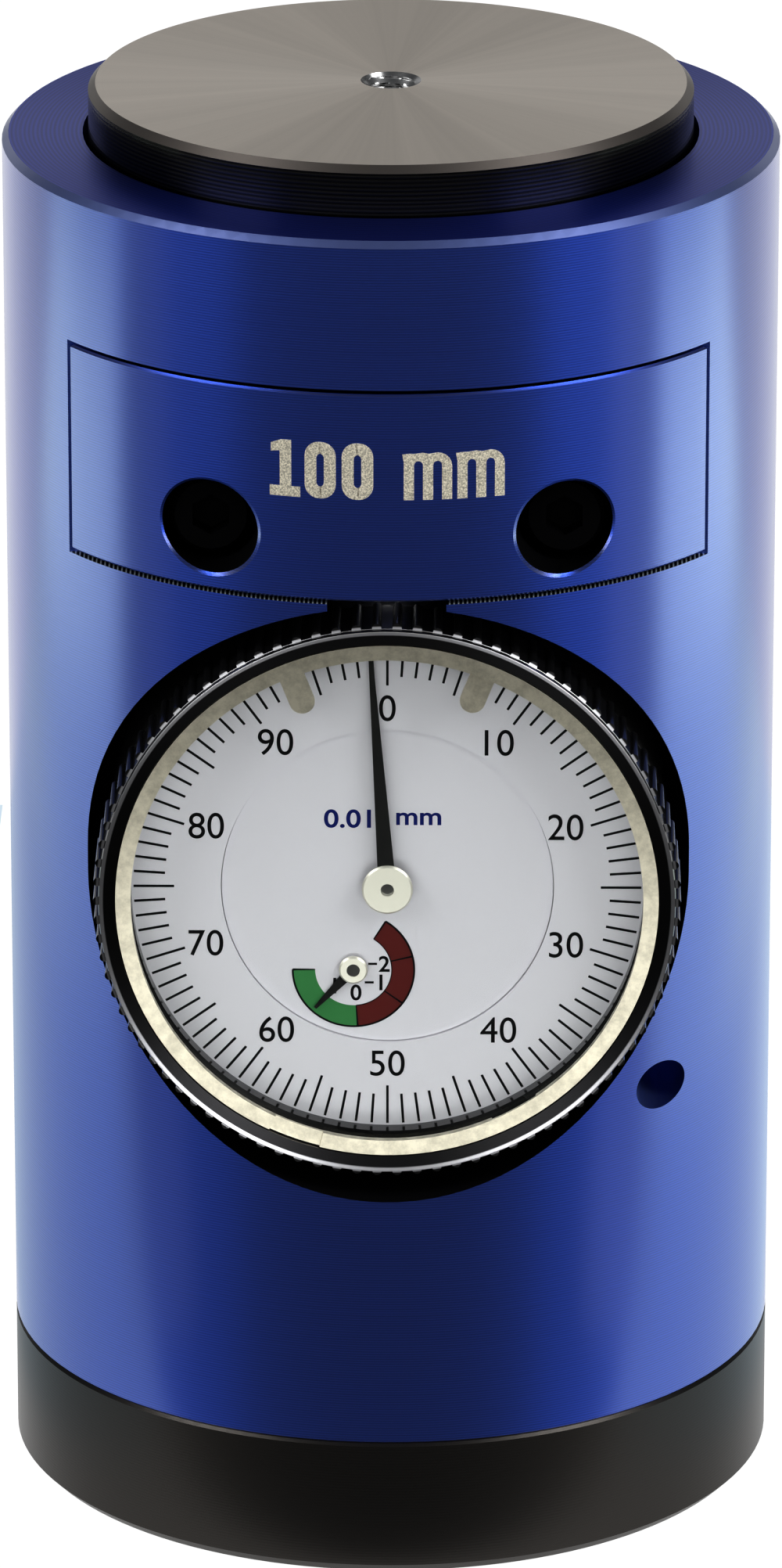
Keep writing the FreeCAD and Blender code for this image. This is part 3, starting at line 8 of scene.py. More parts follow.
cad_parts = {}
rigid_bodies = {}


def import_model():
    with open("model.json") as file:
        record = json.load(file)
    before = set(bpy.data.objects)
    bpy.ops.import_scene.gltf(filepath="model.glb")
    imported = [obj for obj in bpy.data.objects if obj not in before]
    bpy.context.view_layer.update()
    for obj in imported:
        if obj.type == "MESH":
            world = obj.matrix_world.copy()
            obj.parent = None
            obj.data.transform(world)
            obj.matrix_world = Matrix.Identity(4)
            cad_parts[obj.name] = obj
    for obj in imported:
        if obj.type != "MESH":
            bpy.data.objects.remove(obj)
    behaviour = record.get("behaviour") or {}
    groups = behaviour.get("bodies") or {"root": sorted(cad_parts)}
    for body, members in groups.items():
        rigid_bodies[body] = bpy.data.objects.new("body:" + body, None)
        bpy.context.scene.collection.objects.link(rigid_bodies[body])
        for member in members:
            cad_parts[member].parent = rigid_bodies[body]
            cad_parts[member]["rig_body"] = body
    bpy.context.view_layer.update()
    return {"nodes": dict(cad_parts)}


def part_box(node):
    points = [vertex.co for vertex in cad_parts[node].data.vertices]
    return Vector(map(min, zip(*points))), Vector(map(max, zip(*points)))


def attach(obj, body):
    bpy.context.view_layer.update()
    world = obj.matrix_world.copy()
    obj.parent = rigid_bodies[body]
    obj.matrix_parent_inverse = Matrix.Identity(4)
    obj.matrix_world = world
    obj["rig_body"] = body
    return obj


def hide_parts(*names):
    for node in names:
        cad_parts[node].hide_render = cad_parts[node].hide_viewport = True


# Looks of the tool height setter. The shapes of the metal pieces are the CAD solids' own, shaded
# smooth; made here are the dial's print, the engraving, the thread in the anvil, the finishes,
# the light and the camera. Lengths are in metres, and MM turns the named millimetres into them.

MM = 0.001
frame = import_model()

HOUSING_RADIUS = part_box("base")[1].x
DIAL_Z = (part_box("bezel")[0].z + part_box("bezel")[1].z) / 2
SCALE_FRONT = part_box("scale_ring")[0].y
CENTRE_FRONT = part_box("centre_dial")[0].y
RING_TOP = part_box("body")[1].z
COVER_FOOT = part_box("clamp_cover")[0].z

# Corners closer than this are one
WELD = 1e-7


# Node trees


def add(tree, kind, inputs=None, **settings):
    """A node with its settings; each input gets a value, or a link where it is given a socket."""
    node = tree.nodes.new(kind)
    for name, value in settings.items():
        setattr(node, name, value)
    for key, value in (inputs or {}).items():
        if isinstance(value, bpy.types.NodeSocket):
            tree.links.new(value, node.inputs[key])
        else:
            node.inputs[key].default_value = value
    return node


def material(name, colour, metallic=0.0, roughness=0.5, **sockets):
    """A material with a Principled shader; other sockets are named with underscores."""
    made = bpy.data.materials.new(name)
    made.use_nodes = True
    made.diffuse_color = (*colour, 1.0)
    shader = made.node_tree.nodes["Principled BSDF"]
    shader.inputs["Base Color"].default_value = (*colour, 1.0)
    shader.inputs["Metallic"].default_value = metallic
    shader.inputs["Roughness"].default_value = roughness
    for key, value in sockets.items():
        shader.inputs[key.replace("_", " ")].default_value = value
    return made


def shader_of(made):
    return made.node_tree.nodes["Principled BSDF"]


def place_on(tree, axis):
    """Sockets for the distance along an axis and the radius from it, and the vector between."""
    place = add(tree, "ShaderNodeTexCoord").outputs["Object"]
    parts = add(tree, "ShaderNodeSeparateXYZ", {0: place})
    across = [parts.outputs[name] for name in "XYZ" if name != axis]
    if axis == "Y":
        lowered = add(tree, "ShaderNodeMath", {0: across[1], 1: DIAL_Z}, operation="SUBTRACT")
        across[1] = lowered.outputs[0]
        flat = add(tree, "ShaderNodeCombineXYZ", {0: across[0], 2: across[1]}).outputs[0]
    else:
        flat = add(tree, "ShaderNodeCombineXYZ", {0: across[0], 1: across[1]}).outputs[0]
    radius = add(tree, "ShaderNodeVectorMath", {0: flat}, operation="LENGTH").outputs["Value"]
    return parts.outputs[axis], radius, flat


def tinted(made, share, low, high):
    """Mixes the base colour with a darker and a lighter tone of itself by a share from 0 to 1."""
    shader = shader_of(made)
    colour = shader.inputs["Base Color"].default_value[:3]
    tones = add(made.node_tree, "ShaderNodeMix", data_type="RGBA")
    tones.inputs["A"].default_value = tuple(part * low for part in colour) + (1.0,)
    tones.inputs["B"].default_value = tuple(min(1.0, part * high) for part in colour) + (1.0,)
    made.node_tree.links.new(share, tones.inputs["Factor"])
    made.node_tree.links.new(tones.outputs["Result"], shader.inputs["Base Color"])


def turned_finish(made, axis, pitch, depth, streak, face, grain=0.5, tone=0.0):
    """Lathe marks: grooves one pitch apart with a random part, and gloss drawn out across them.

    On a face the grooves run round the axis at each radius, on a wall at each height. grain is the
    random part's share, and tone is how much darker the grooves are, and the ridges lighter, than
    the finish.
    """
    tree = made.node_tree
    shader = shader_of(made)
    along, radius, flat = place_on(tree, axis)
    walk = radius if face else along
    turns = add(tree, "ShaderNodeMath", {0: walk, 1: 2 * math.pi / pitch}, operation="MULTIPLY")
    groove = add(tree, "ShaderNodeMath", {0: turns.outputs[0]}, operation="SINE")
    spread = add(tree, "ShaderNodeMath", {0: walk, 1: 1.7 / pitch}, operation="MULTIPLY")
    noise = add(
        tree,
        "ShaderNodeTexNoise",
        {"W": spread.outputs[0], "Scale": 1.0, "Detail": 3.0},
        noise_dimensions="1D",
    )
    rough = add(
        tree,
        "ShaderNodeMath",
        {0: noise.outputs[0], 1: grain * 4, 2: groove.outputs[0]},
        operation="MULTIPLY_ADD",
    )
    bump = add(
        tree,
        "ShaderNodeBump",
        {"Height": rough.outputs[0], "Distance": depth, "Strength": 1.0},
    )
    tree.links.new(bump.outputs[0], shader.inputs["Normal"])
    if tone:
        reach = {"Value": rough.outputs[0], "From Min": 0.0, "From Max": 2.0}
        level = add(tree, "ShaderNodeMapRange", reach)
        tinted(made, level.outputs["Result"], 1.0 - tone, 1.0 + tone)
    shader.inputs["Anisotropic"].default_value = streak
    if face:
        tree.links.new(flat, shader.inputs["Tangent"])
    else:
        upright = {"Z": (0.0, 0.0, 1.0), "Y": (0.0, 1.0, 0.0)}[axis]
        drawn = add(tree, "ShaderNodeCombineXYZ", dict(enumerate(upright)))
        tree.links.new(drawn.outputs[0], shader.inputs["Tangent"])
    return made


def mottled(made, noise, span, tones):
    """Tones the finish by a noise: the first tone under the span's start, the second past its end."""
    tree = made.node_tree
    place = add(tree, "ShaderNodeTexCoord").outputs["Object"]
    spots = add(tree, "ShaderNodeTexNoise", {"Vector": place, **noise})
    reach = {"Value": spots.outputs[0], "From Min": span[0], "From Max": span[1]}
    level = add(tree, "ShaderNodeMapRange", reach)
    tinted(made, level.outputs["Result"], *tones)


def brushed(made, scale, depth):
    """Fine random bumps, drawn out along the axes that have the smaller scales."""
    tree = made.node_tree
    place = add(tree, "ShaderNodeTexCoord").outputs["Object"]
    drawn = add(tree, "ShaderNodeMapping", {0: place, "Scale": scale})
    waves = {"Vector": drawn.outputs[0], "Scale": 1.0, "Detail": 4.0}
    noise = add(tree, "ShaderNodeTexNoise", waves)
    bump = add(tree, "ShaderNodeBump", {"Height": noise.outputs[0], "Distance": depth})
    tree.links.new(bump.outputs[0], shader_of(made).inputs["Normal"])
    return made


# Finishes


def blue_anodised():
    """Deep blue dyed oxide on turned aluminium, with fine grooves from the turning."""
    made = material(
        "blue_anodised",
        (0.026, 0.083, 0.5),
        metallic=1.0,
        roughness=0.36,
        Coat_Weight=1.0,
        Coat_Roughness=0.24,
        Coat_IOR=2.0,
    )
    depth = 0.0017 * MM
    return turned_finish(made, "Z", pitch=0.18 * MM, depth=depth, streak=0.85, face=False, tone=0.2)


def milled_ledge():
    """The edge under the clamp cover, with the feed marks of the cutter that opened it; its colour is
    painted paler than the blue dye, a painted highlight that catches the lamps' light.
    """
    made = material("milled_ledge", (0.5, 0.55, 0.8), metallic=1.0, roughness=0.6)
    tree = made.node_tree
    place = add(tree, "ShaderNodeTexCoord").outputs["Object"]
    parts = add(tree, "ShaderNodeSeparateXYZ", {0: place})
    feed = 0.3 * MM
    turns = {0: parts.outputs["X"], 1: 2 * math.pi / feed}
    walk = add(tree, "ShaderNodeMath", turns, operation="MULTIPLY")
    mark = add(tree, "ShaderNodeMath", {0: walk.outputs[0]}, operation="SINE")
    tinted(made, mark.outputs[0], 0.02, 1.8)
    return made


def blue_edge():
    """The dye on the housing's chamfer, painted paler than on the wall so that its highlight shows
    pale: a painted highlight.
    """
    return material(
        "blue_edge",
        (0.11, 0.16, 0.42),
        metallic=1.0,
        roughness=0.42,
        Coat_Weight=1.0,
        Coat_Roughness=0.3,
        Coat_IOR=1.9,
    )


def blue_ring():
    """The same dye on the housing's turned top ring, duller than the wall."""
    made = material(
        "blue_ring",
        (0.02, 0.045, 0.36),
        metallic=1.0,
        roughness=0.4,
        Coat_Weight=0.15,
        Coat_Roughness=0.25,
        Coat_IOR=1.6,
    )
    depth = 0.0012 * MM
    return turned_finish(made, "Z", pitch=0.3 * MM, depth=depth, streak=0.6, face=True, tone=0.25)


def black_steel():
    """Blackened steel of the base, satin."""
    made = material("black_steel", (0.062, 0.058, 0.054), metallic=1.0, roughness=0.38)
    return turned_finish(made, "Z", pitch=0.21 * MM, depth=0.001 * MM, streak=0.6, face=False)


def ground_steel():
    """The anvil's face, turned and lightly ground; radial spokes painted lighter and darker into its
    colour are painted highlights of the turning.
    """
    made = material("ground_steel", (0.62, 0.565, 0.5), metallic=1.0, roughness=0.34)
    tree = made.node_tree
    flat = place_on(tree, "Z")[2]
    way = add(tree, "ShaderNodeVectorMath", {0: flat}, operation="NORMALIZE")
    # Painted highlights: spokes that lighten and darken the colour round the centre
    painted_spoke_highlights = add(
        tree,
        "ShaderNodeTexNoise",
        {"Vector": way.outputs["Vector"], "Scale": 4.0, "Detail": 5.0, "Roughness": 0.7},
    )
    tinted(made, painted_spoke_highlights.outputs[0], 0.78, 1.2)
    return turned_finish(made, "Z", pitch=0.12 * MM, depth=0.0008 * MM, streak=0.5, face=True)


def dark_wall():
    """The anvil's wall, blackened and turned."""
    made = material("dark_wall", (0.036, 0.035, 0.033), metallic=1.0, roughness=0.24)
    depth = 0.003 * MM
    return turned_finish(made, "Z", pitch=0.3 * MM, depth=depth, streak=0.8, face=False, tone=0.5)


def dark_rim():
    """The anvil's chamfer, half blackened."""
    return material("dark_rim", (0.2, 0.18, 0.165), metallic=1.0, roughness=0.36)


def tapped_steel():
    """The bright flanks of the thread in the anvil."""
    return material("tapped_steel", (0.42, 0.42, 0.42), metallic=1.0, roughness=0.26)


def turned_black():
    """The bezel's front: a black lip, and round it a turned band painted far lighter than the black
    finish, a painted highlight that fans out a lamp's light.
    """
    made = material("turned_black", (0.13, 0.13, 0.135), metallic=1.0, roughness=0.4)
    tree = made.node_tree
    radius = place_on(tree, "Y")[1]
    lip_edge = 19.5 * MM
    teeth_edge = 20.0 * MM
    blur = 0.04 * MM
    lip = {"Value": radius, "From Min": lip_edge - blur, "From Max": lip_edge + blur}
    past_lip = add(tree, "ShaderNodeMapRange", lip)
    teeth = {"Value": radius, "From Min": teeth_edge + blur, "From Max": teeth_edge - blur}
    before_teeth = add(tree, "ShaderNodeMapRange", teeth)
    both = {0: past_lip.outputs["Result"], 1: before_teeth.outputs["Result"]}
    band = add(tree, "ShaderNodeMath", both, operation="MULTIPLY")
    # Painted highlight: the band is painted lighter than the black finish, and the lip darker
    tinted(made, band.outputs[0], 0.12, 2.8)
    return turned_finish(made, "Y", pitch=0.1 * MM, depth=0.0008 * MM, streak=0.85, face=True)


def drilled_wall():
    """The wall of the drilled side hole, rough and painted paler than the blue dye, a painted
    highlight that catches some light at its mouth.
    """
    return material("drilled_wall", (0.17, 0.25, 0.65), metallic=1.0, roughness=0.4)


def unlit_bore():
    """Painted shade: the inside of the counterbores, the screws in them and the dial's pocket,
    painted near black where shade falls.
    """
    return material("unlit_bore", (0.0015, 0.0015, 0.002), roughness=0.55, Specular_IOR_Level=0.1)


def nickel():
    """Plated sheet of the marker rings, a little worn."""
    made = material("nickel", (0.66, 0.63, 0.51), metallic=0.9, roughness=0.3)
    wear = {"Scale": 900.0, "Detail": 6.0, "Roughness": 0.75}
    mottled(made, wear, span=(0.3, 0.6), tones=(0.72, 1.06))
    return brushed(made, (300.0, 300.0, 9000.0), 0.002 * MM)


def engraved():
    """Bare metal where the laser took the dye off, with its fine hatching."""
    made = material("engraved", (0.8, 0.75, 0.62), metallic=0.25, roughness=0.6)
    grain = {"Scale": 9000.0, "Detail": 2.0}
    mottled(made, grain, span=(0.35, 0.65), tones=(0.55, 1.25))
    return brushed(made, (9000.0, 9000.0, 9000.0), 0.004 * MM)


def clear_pane():
    """A clear pane that lets light through straight and mirrors a little at a slant."""
    made = bpy.data.materials.new("clear")
    made.use_nodes = True
    tree = made.node_tree
    tree.nodes.remove(tree.nodes["Principled BSDF"])
    out = tree.nodes["Material Output"]
    through = add(tree, "ShaderNodeBsdfTransparent", {"Color": (0.97, 0.98, 0.97, 1.0)})
    mirror = add(tree, "ShaderNodeBsdfGlossy", {"Roughness": 0.02})
    slant = add(tree, "ShaderNodeLayerWeight", {"Blend": 0.5})
    share = add(tree, "ShaderNodeMath", {0: slant.outputs["Facing"], 1: 0.35}, operation="MULTIPLY")
    mixed = add(
        tree,
        "ShaderNodeMixShader",
        {0: share.outputs[0], 1: through.outputs[0], 2: mirror.outputs[0]},
    )
    tree.links.new(mixed.outputs[0], out.inputs["Surface"])
    return made


def plain_metal(name, colour, roughness):
    """Metal of the pieces inside, as it comes from the machine."""
    return material(name, colour, metallic=1.0, roughness=roughness)


def dull_paint(name, colour, roughness=0.6, gloss=0.05):
    """Paint or ink with little shine."""
    return material(name, colour, roughness=roughness, Specular_IOR_Level=gloss)


FINISH = {
    "blue": blue_anodised(),
    "ring": blue_ring(),
    "edge": blue_edge(),
    "drilled": drilled_wall(),
    "ledge": milled_ledge(),
    "bezel_front": turned_black(),
    "base": black_steel(),
    "face": ground_steel(),
    "wall": dark_wall(),
    "rim": dark_rim(),
    "tapped": tapped_steel(),
    "gloss": material("gloss_black", (0.004, 0.004, 0.0045), roughness=0.18, IOR=2.0),
    "screw": material("screw_black", (0.004, 0.004, 0.004), roughness=0.6),
    "bore": unlit_bore(),
    "nickel": nickel(),
    "hub": material("polished_nickel", (0.94, 0.91, 0.82), metallic=0.7, roughness=0.4),
    "hand": dull_paint("hand_black", (0.006, 0.006, 0.006), roughness=0.5, gloss=0.15),
    "dial": dull_paint("dial_paint", (0.735, 0.715, 0.77), roughness=0.55, gloss=0.2),
    "black": dull_paint("print_black", (0.004, 0.004, 0.005)),
    "navy": dull_paint("print_navy", (0.008, 0.016, 0.14)),
    "green": dull_paint("print_green", (0.06, 0.24, 0.085)),
    "red": dull_paint("print_red", (0.12, 0.02, 0.018)),
    "engraved": engraved(),
    "clear": clear_pane(),
    "steel": plain_metal("bright_steel", (0.6, 0.6, 0.6), 0.3),
    "brass": plain_metal("brass", (0.75, 0.55, 0.24), 0.28),
    "bronze": plain_metal("bronze", (0.55, 0.34, 0.17), 0.35),
    "case": plain_metal("case_metal", (0.5, 0.5, 0.5), 0.4),
}

NODE_FINISH = {
    "base": "base",
    "base_screws": "screw",
    "body": "blue",
    "clamp_cover": "blue",
    # The cover screws take the painted shade of their counterbores
    "cover_screws": "bore",
    "spring_plug": "screw",
    "turn_pin": "steel",
    "guide_bush": "bronze",
    "return_spring": "steel",
    "gauge_case": "case",
    "gauge_back": "case",
    "back_screws": "steel",
    "gauge_stem": "steel",
    "end_cap": "steel",
    "guide_rail": "steel",
    "spring_post": "brass",
    "plunger_spring": "steel",
    "front_plate": "brass",
    "rear_plate": "brass",
    "movement_pillars": "brass",
    "plate_screws": "steel",
    "pinion_cock": "brass",
    "hairspring": "bronze",
    "centre_dial": "dial",
    "bezel_wire": "steel",
    "anvil_plate": "face",
    "guide_column": "steel",
    "stop_collar": "steel",
    "collar_screw": "screw",
    "rack_spindle": "steel",
    "contact_point": "steel",
    "spindle_pin": "steel",
    "rack_pinion": "steel",
    "rack_wheel": "brass",
    "centre_pinion": "steel",
    "main_hand": "hand",
    "main_hub": "hub",
    "counter_arbor": "steel",
    "counter_wheel": "brass",
    "counter_hand": "hand",
    "counter_hub": "hub",
    "bezel": "gloss",
    "crystal": "clear",
    "scale_ring": "dial",
    "marker_left": "nickel",
    "marker_right": "nickel",
}

# The pieces in view, with the axis that they were turned about
TURNED = {
    "base": "Z",
    "body": "Z",
    "clamp_cover": "Z",
    "cover_screws": "Y",
    "bezel": "Y",
    "scale_ring": "Y",
    "centre_dial": "Y",
    "marker_left": "Y",
    "marker_right": "Y",
    "main_hub": "Y",
    "main_hand": "Y",
    "counter_hand": "Y",
    "crystal": "Y",
}


# Meshes


def body_named(node):
    return frame["nodes"][node]["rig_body"]


def new_object(name, data):
    """An object in the scene that holds a mesh, a curve, a lamp or a camera."""
    made = bpy.data.objects.new(name, data)
    bpy.context.scene.collection.objects.link(made)
    return made


def piece(name, mesh, finish, body):
    """A finished object of the model: its mesh carries its place, and it rides on a CAD body."""
    made = new_object(name, mesh)
    mesh.materials.clear()
    mesh.materials.append(FINISH[finish])
    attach(made, body)
    return made


def outward(mesh):
    """Merges doubles and turns every face of a closed mesh outwards."""
    work = bmesh.new()
    work.from_mesh(mesh)
    bmesh.ops.remove_doubles(work, verts=work.verts, dist=WELD)
    bmesh.ops.recalc_face_normals(work, faces=work.faces)
    work.to_mesh(mesh)
    work.free()
    return mesh


def settled_mesh(holder):
    """The plain mesh of an object with its modifiers, or of a curve; the object itself goes."""
    graph = bpy.context.evaluated_depsgraph_get()
    mesh = bpy.data.meshes.new_from_object(holder.evaluated_get(graph))
    bpy.data.objects.remove(holder)
    return mesh


def smooth_edges(mesh, sharp=math.radians(28)):
    """Smooth shading, apart from edges that turn by more than the sharp angle."""
    work = bmesh.new()
    work.from_mesh(mesh)
    for face in work.faces:
        face.smooth = True
    for edge in work.edges:
        edge.smooth = len(edge.link_faces) == 2 and edge.calc_face_angle() < sharp
    work.to_mesh(mesh)
    work.free()


def true_round(mesh, axis):
    """Gives each corner of a turned face the normal of the true cone, cylinder or flat."""
    up = Vector((0, 0, 1)) if axis == "Z" else Vector((0, 1, 0))
    centre = Vector((0, 0, 0)) if axis == "Z" else Vector((0, 0, DIAL_Z))
    near = math.cos(math.radians(3.2))
    level = 0.995
    tiny = 1e-6
    normals = [(0.0, 0.0, 0.0)] * len(mesh.loops)
    for face in mesh.polygons:
        slope = face.normal.dot(up)
        flat = face.normal - slope * up
        middle = face.center - centre
        middle -= middle.dot(up) * up
        if abs(slope) > level:
            for loop in face.loop_indices:
                normals[loop] = tuple(up * math.copysign(1.0, slope))
            continue
        if flat.length < 1e-4 or middle.length < tiny:
            continue
        side = flat.normalized().dot(middle.normalized())
        if abs(side) < near:
            continue
        for loop in face.loop_indices:
            corner = mesh.vertices[mesh.loops[loop].vertex_index].co - centre
            corner -= corner.dot(up) * up
            if corner.length < tiny:
                continue
            round_part = corner.normalized() * math.copysign(flat.length, side)
            normals[loop] = tuple((round_part + slope * up).normalized())
    mesh.normals_split_custom_set(normals)


def finished_copy(node):
    """A CAD node's own shape with smooth shading, standing for the node."""
    mesh = frame["nodes"][node].data.copy()
    mesh.name = node + "_finished"
    work = bmesh.new()
    work.from_mesh(mesh)
    bmesh.ops.remove_doubles(work, verts=work.verts, dist=WELD)
    work.to_mesh(mesh)
    work.free()
    smooth_edges(mesh)
    true_round(mesh, TURNED[node])
    made = piece(node + "_finished", mesh, NODE_FINISH[node], body_named(node))
    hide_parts(node)
    return made


def refinish(made, finish, belongs):
    """Gives another finish to the faces of a piece that pass a test of their centre and normal."""
    made.data.materials.append(FINISH[finish])
    slot = len(made.data.materials) - 1
    for face in made.data.polygons:
        if belongs(face.center, face.normal):
            face.material_index = slot


SCREW_LOW, SCREW_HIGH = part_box("cover_screws")
SCREW_HEAD_RADIUS = 2.75 * MM
SCREW_X = SCREW_HIGH.x - SCREW_HEAD_RADIUS
SCREW_Z = (SCREW_LOW.z + SCREW_HIGH.z) / 2
BORE_RADIUS = 3.31 * MM
SIDE_HOLE_X = 19.0 * MM
SIDE_HOLE_Z = 33.9 * MM
SIDE_HOLE_RADIUS = 1.74 * MM
POCKET_REACH = 23.0 * MM

# A face this far from the housing's axis or farther is its outer skin
SKIN = HOUSING_RADIUS - 0.03 * MM

# A face whose normal rises more than this looks up
LEVEL = 0.9


def in_counterbore(place, normal):
    """True on the walls and seats of the cover's two counterbores."""
    reach = math.hypot(abs(place.x) - SCREW_X, place.z - SCREW_Z)
    return reach < BORE_RADIUS and math.hypot(place.x, place.y) < SKIN


def in_side_hole(place, normal):
    """True on the wall of the small hole to the lower right of the dial."""
    reach = math.hypot(place.x - SIDE_HOLE_X, place.z - SIDE_HOLE_Z)
    return place.y < 0 and reach < SIDE_HOLE_RADIUS


def in_pocket(place, normal):
    """True on the walls and floor of the dial's pocket in the housing."""
    reach = math.hypot(place.x, place.z - DIAL_Z)
    return place.y < 0 and reach < POCKET_REACH and math.hypot(place.x, place.y) < SKIN


def on_top_edge(place, normal):
    """True on the chamfer round the housing's top."""
    band = 2.0 * MM
    return 0.3 < normal.z < LEVEL and place.z > RING_TOP - band


def on_ledge(place, normal):
    """True on the edge of the housing under the clamp cover."""
    slack = 0.4 * MM
    return normal.z > LEVEL and place.y < 0 and abs(place.z - COVER_FOOT) < slack


def on_bezel_front(place, normal):
    """True on the bezel's front, between its inner lip and its teeth."""
    return normal.y < -0.5


def on_top_ring(place, normal):
    """True on the housing's flat top ring."""
    slack = 0.1 * MM
    return normal.z > LEVEL and place.z > RING_TOP - slack


def stacked(name, rows):
    """A closed mesh from rows with the same number of points; the last row joins the first."""
    work = bmesh.new()
    rings = [[work.verts.new(point) for point in row] for row in rows]
    count = len(rings[0])
    for lower, upper in zip(rings, rings[1:] + rings[:1]):
        for step in range(count):
            after = (step + 1) % count
            work.faces.new((lower[step], lower[after], upper[after], upper[step]))
    mesh = bpy.data.meshes.new(name)
    work.to_mesh(mesh)
    work.free()
    return outward(mesh)


def lathe(rings, segments=256):
    """A turned mesh from rings of (radius, height); a radius may depend on the angle."""
    rows = []
    for radius, height in rings:
        row = []
        for step in range(segments):
            angle = 2 * math.pi * step / segments
            size = radius(angle) if callable(radius) else radius
            row.append((size * math.cos(angle), size * math.sin(angle), height))
        rows.append(row)
    return stacked("lathe", rows)


def loop_plate(outer, inner, depth):
    """A closed plate between two outlines with the same number of points."""
    rows = []
    for outline, height in ((outer, 0.0), (outer, depth), (inner, depth), (inner, 0.0)):
        rows.append([(x, y, height) for x, y in outline])
    return stacked("loop", rows)


def prism(outline, depth):
    """A closed plate from an outline in the XY plane, from z 0 to its depth."""
    work = bmesh.new()
    low = [work.verts.new((x, y, 0.0)) for x, y in outline]
    high = [work.verts.new((x, y, depth)) for x, y in outline]
    work.faces.new(low)
    work.faces.new(high)
    count = len(outline)
    for step in range(count):
        after = (step + 1) % count
        work.faces.new((low[step], low[after], high[after], high[step]))
    mesh = bpy.data.meshes.new("plate")
    work.to_mesh(mesh)
    work.free()
    return outward(mesh)


def joined(meshes):
    """One mesh from several, each given with the matrix that puts it in its place."""
    work = bmesh.new()
    for mesh, place in meshes:
        mesh.transform(place)
        work.from_mesh(mesh)
        bpy.data.meshes.remove(mesh)
    whole = bpy.data.meshes.new("joined")
    work.to_mesh(whole)
    work.free()
    return whole


# The share of the font's size that a capital is high
CAPITAL_SHARE = 0.73


def text_mesh(words, height, depth, width=1.0, weight=0.0):
    """Words as closed plates, centred on the origin in XY and standing from z 0 to their depth.

    height is that of a capital; weight thickens every stroke.
    """
    curve = bpy.data.curves.new("words", "FONT")
    curve.body = words
    curve.align_x = "CENTER"
    curve.size = height / CAPITAL_SHARE
    curve.offset = weight
    curve.extrude = depth / 2
    curve.resolution_u = 6
    mesh = settled_mesh(new_object("words", curve))
    mesh.transform(Matrix.Scale(width, 4, (1, 0, 0)))
    xs = [vertex.co.x for vertex in mesh.vertices]
    ys = [vertex.co.y for vertex in mesh.vertices]
    middle = ((min(xs) + max(xs)) / 2, (min(ys) + max(ys)) / 2)
    mesh.transform(Matrix.Translation((-middle[0], -middle[1], depth / 2)))
    return outward(mesh)


# Dial print

PRINT_DEPTH = 0.012 * MM


def on_dial(front):
    """The matrix from a drawing of the dial, seen from the front, to its place in the frame."""
    turn = Matrix(((1, 0, 0, 0), (0, 0, -1, 0), (0, 1, 0, 0), (0, 0, 0, 1)))
    return Matrix.Translation((0, front, DIAL_Z)) @ turn


def tick_tree():
    """Geometry nodes: Count ticks inside Outer Radius as closed bars, one in Long Every longer."""
    tree = bpy.data.node_groups.new("dial_ticks", "GeometryNodeTree")
    face = tree.interface
    face.new_socket("Geometry", in_out="OUTPUT", socket_type="NodeSocketGeometry")
    kinds = {"Count": "Int", "Long Every": "Int"}
    for name in ("Count", "Long Every", "Outer Radius", "Short", "Long", "Width", "Depth"):
        kind = "NodeSocket" + kinds.get(name, "Float")
        face.new_socket(name, in_out="INPUT", socket_type=kind)
    face.new_socket("Ink", in_out="INPUT", socket_type="NodeSocketMaterial")
    given = tree.nodes.new("NodeGroupInput").outputs
    ring = add(
        tree,
        "GeometryNodeMeshCircle",
        {"Vertices": given["Count"], "Radius": given["Outer Radius"]},
    )
    index = add(tree, "GeometryNodeInputIndex").outputs[0]
    rest = add(
        tree,
        "FunctionNodeIntegerMath",
        {0: index, 1: given["Long Every"]},
        operation="MODULO",
    )
    is_long = add(
        tree,
        "FunctionNodeCompare",
        {"A": rest.outputs[0], "B": 0},
        data_type="INT",
        operation="EQUAL",
    )
    reach = add(
        tree,
        "GeometryNodeSwitch",
        {"Switch": is_long.outputs[0], "False": given["Short"], "True": given["Long"]},
        input_type="FLOAT",
    )
    size = add(
        tree,
        "ShaderNodeCombineXYZ",
        {0: reach.outputs[0], 1: given["Width"], 2: given["Depth"]},
    )
    step = add(tree, "ShaderNodeMath", {0: 2 * math.pi, 1: given["Count"]}, operation="DIVIDE")
    turn = add(tree, "ShaderNodeMath", {0: index, 1: step.outputs[0]}, operation="MULTIPLY")
    spin = add(tree, "ShaderNodeCombineXYZ", {2: turn.outputs[0]})
    bar = add(tree, "GeometryNodeMeshCube", {"Size": (1.0, 1.0, 1.0)})
    hung = add(
        tree,
        "GeometryNodeTransform",
        {"Geometry": bar.outputs["Mesh"], "Translation": (-0.5, 0.0, 0.5)},
    )
    placed = add(
        tree,
        "GeometryNodeInstanceOnPoints",
        {
            "Points": ring.outputs["Mesh"],
            "Instance": hung.outputs[0],
            "Rotation": spin.outputs[0],
            "Scale": size.outputs[0],
        },
    )
    real = add(tree, "GeometryNodeRealizeInstances", {0: placed.outputs[0]})
    inked = add(
        tree,
        "GeometryNodeSetMaterial",
        {"Geometry": real.outputs[0], "Material": given["Ink"]},
    )
    out = tree.nodes.new("NodeGroupOutput")
    tree.links.new(inked.outputs[0], out.inputs[0])
    return tree


def grown(tree, **inputs):
    """The plain mesh that a geometry tree makes of these inputs, named with underscores."""
    holder = new_object("grown", bpy.data.meshes.new("grown"))
    modifier = holder.modifiers.new("grown", "NODES")
    modifier.node_group = tree
    sockets = {item.name: item.identifier for item in tree.interface.items_tree}
    for name, value in inputs.items():
        modifier[sockets[name.replace("_", " ")]] = value
    return settled_mesh(holder)


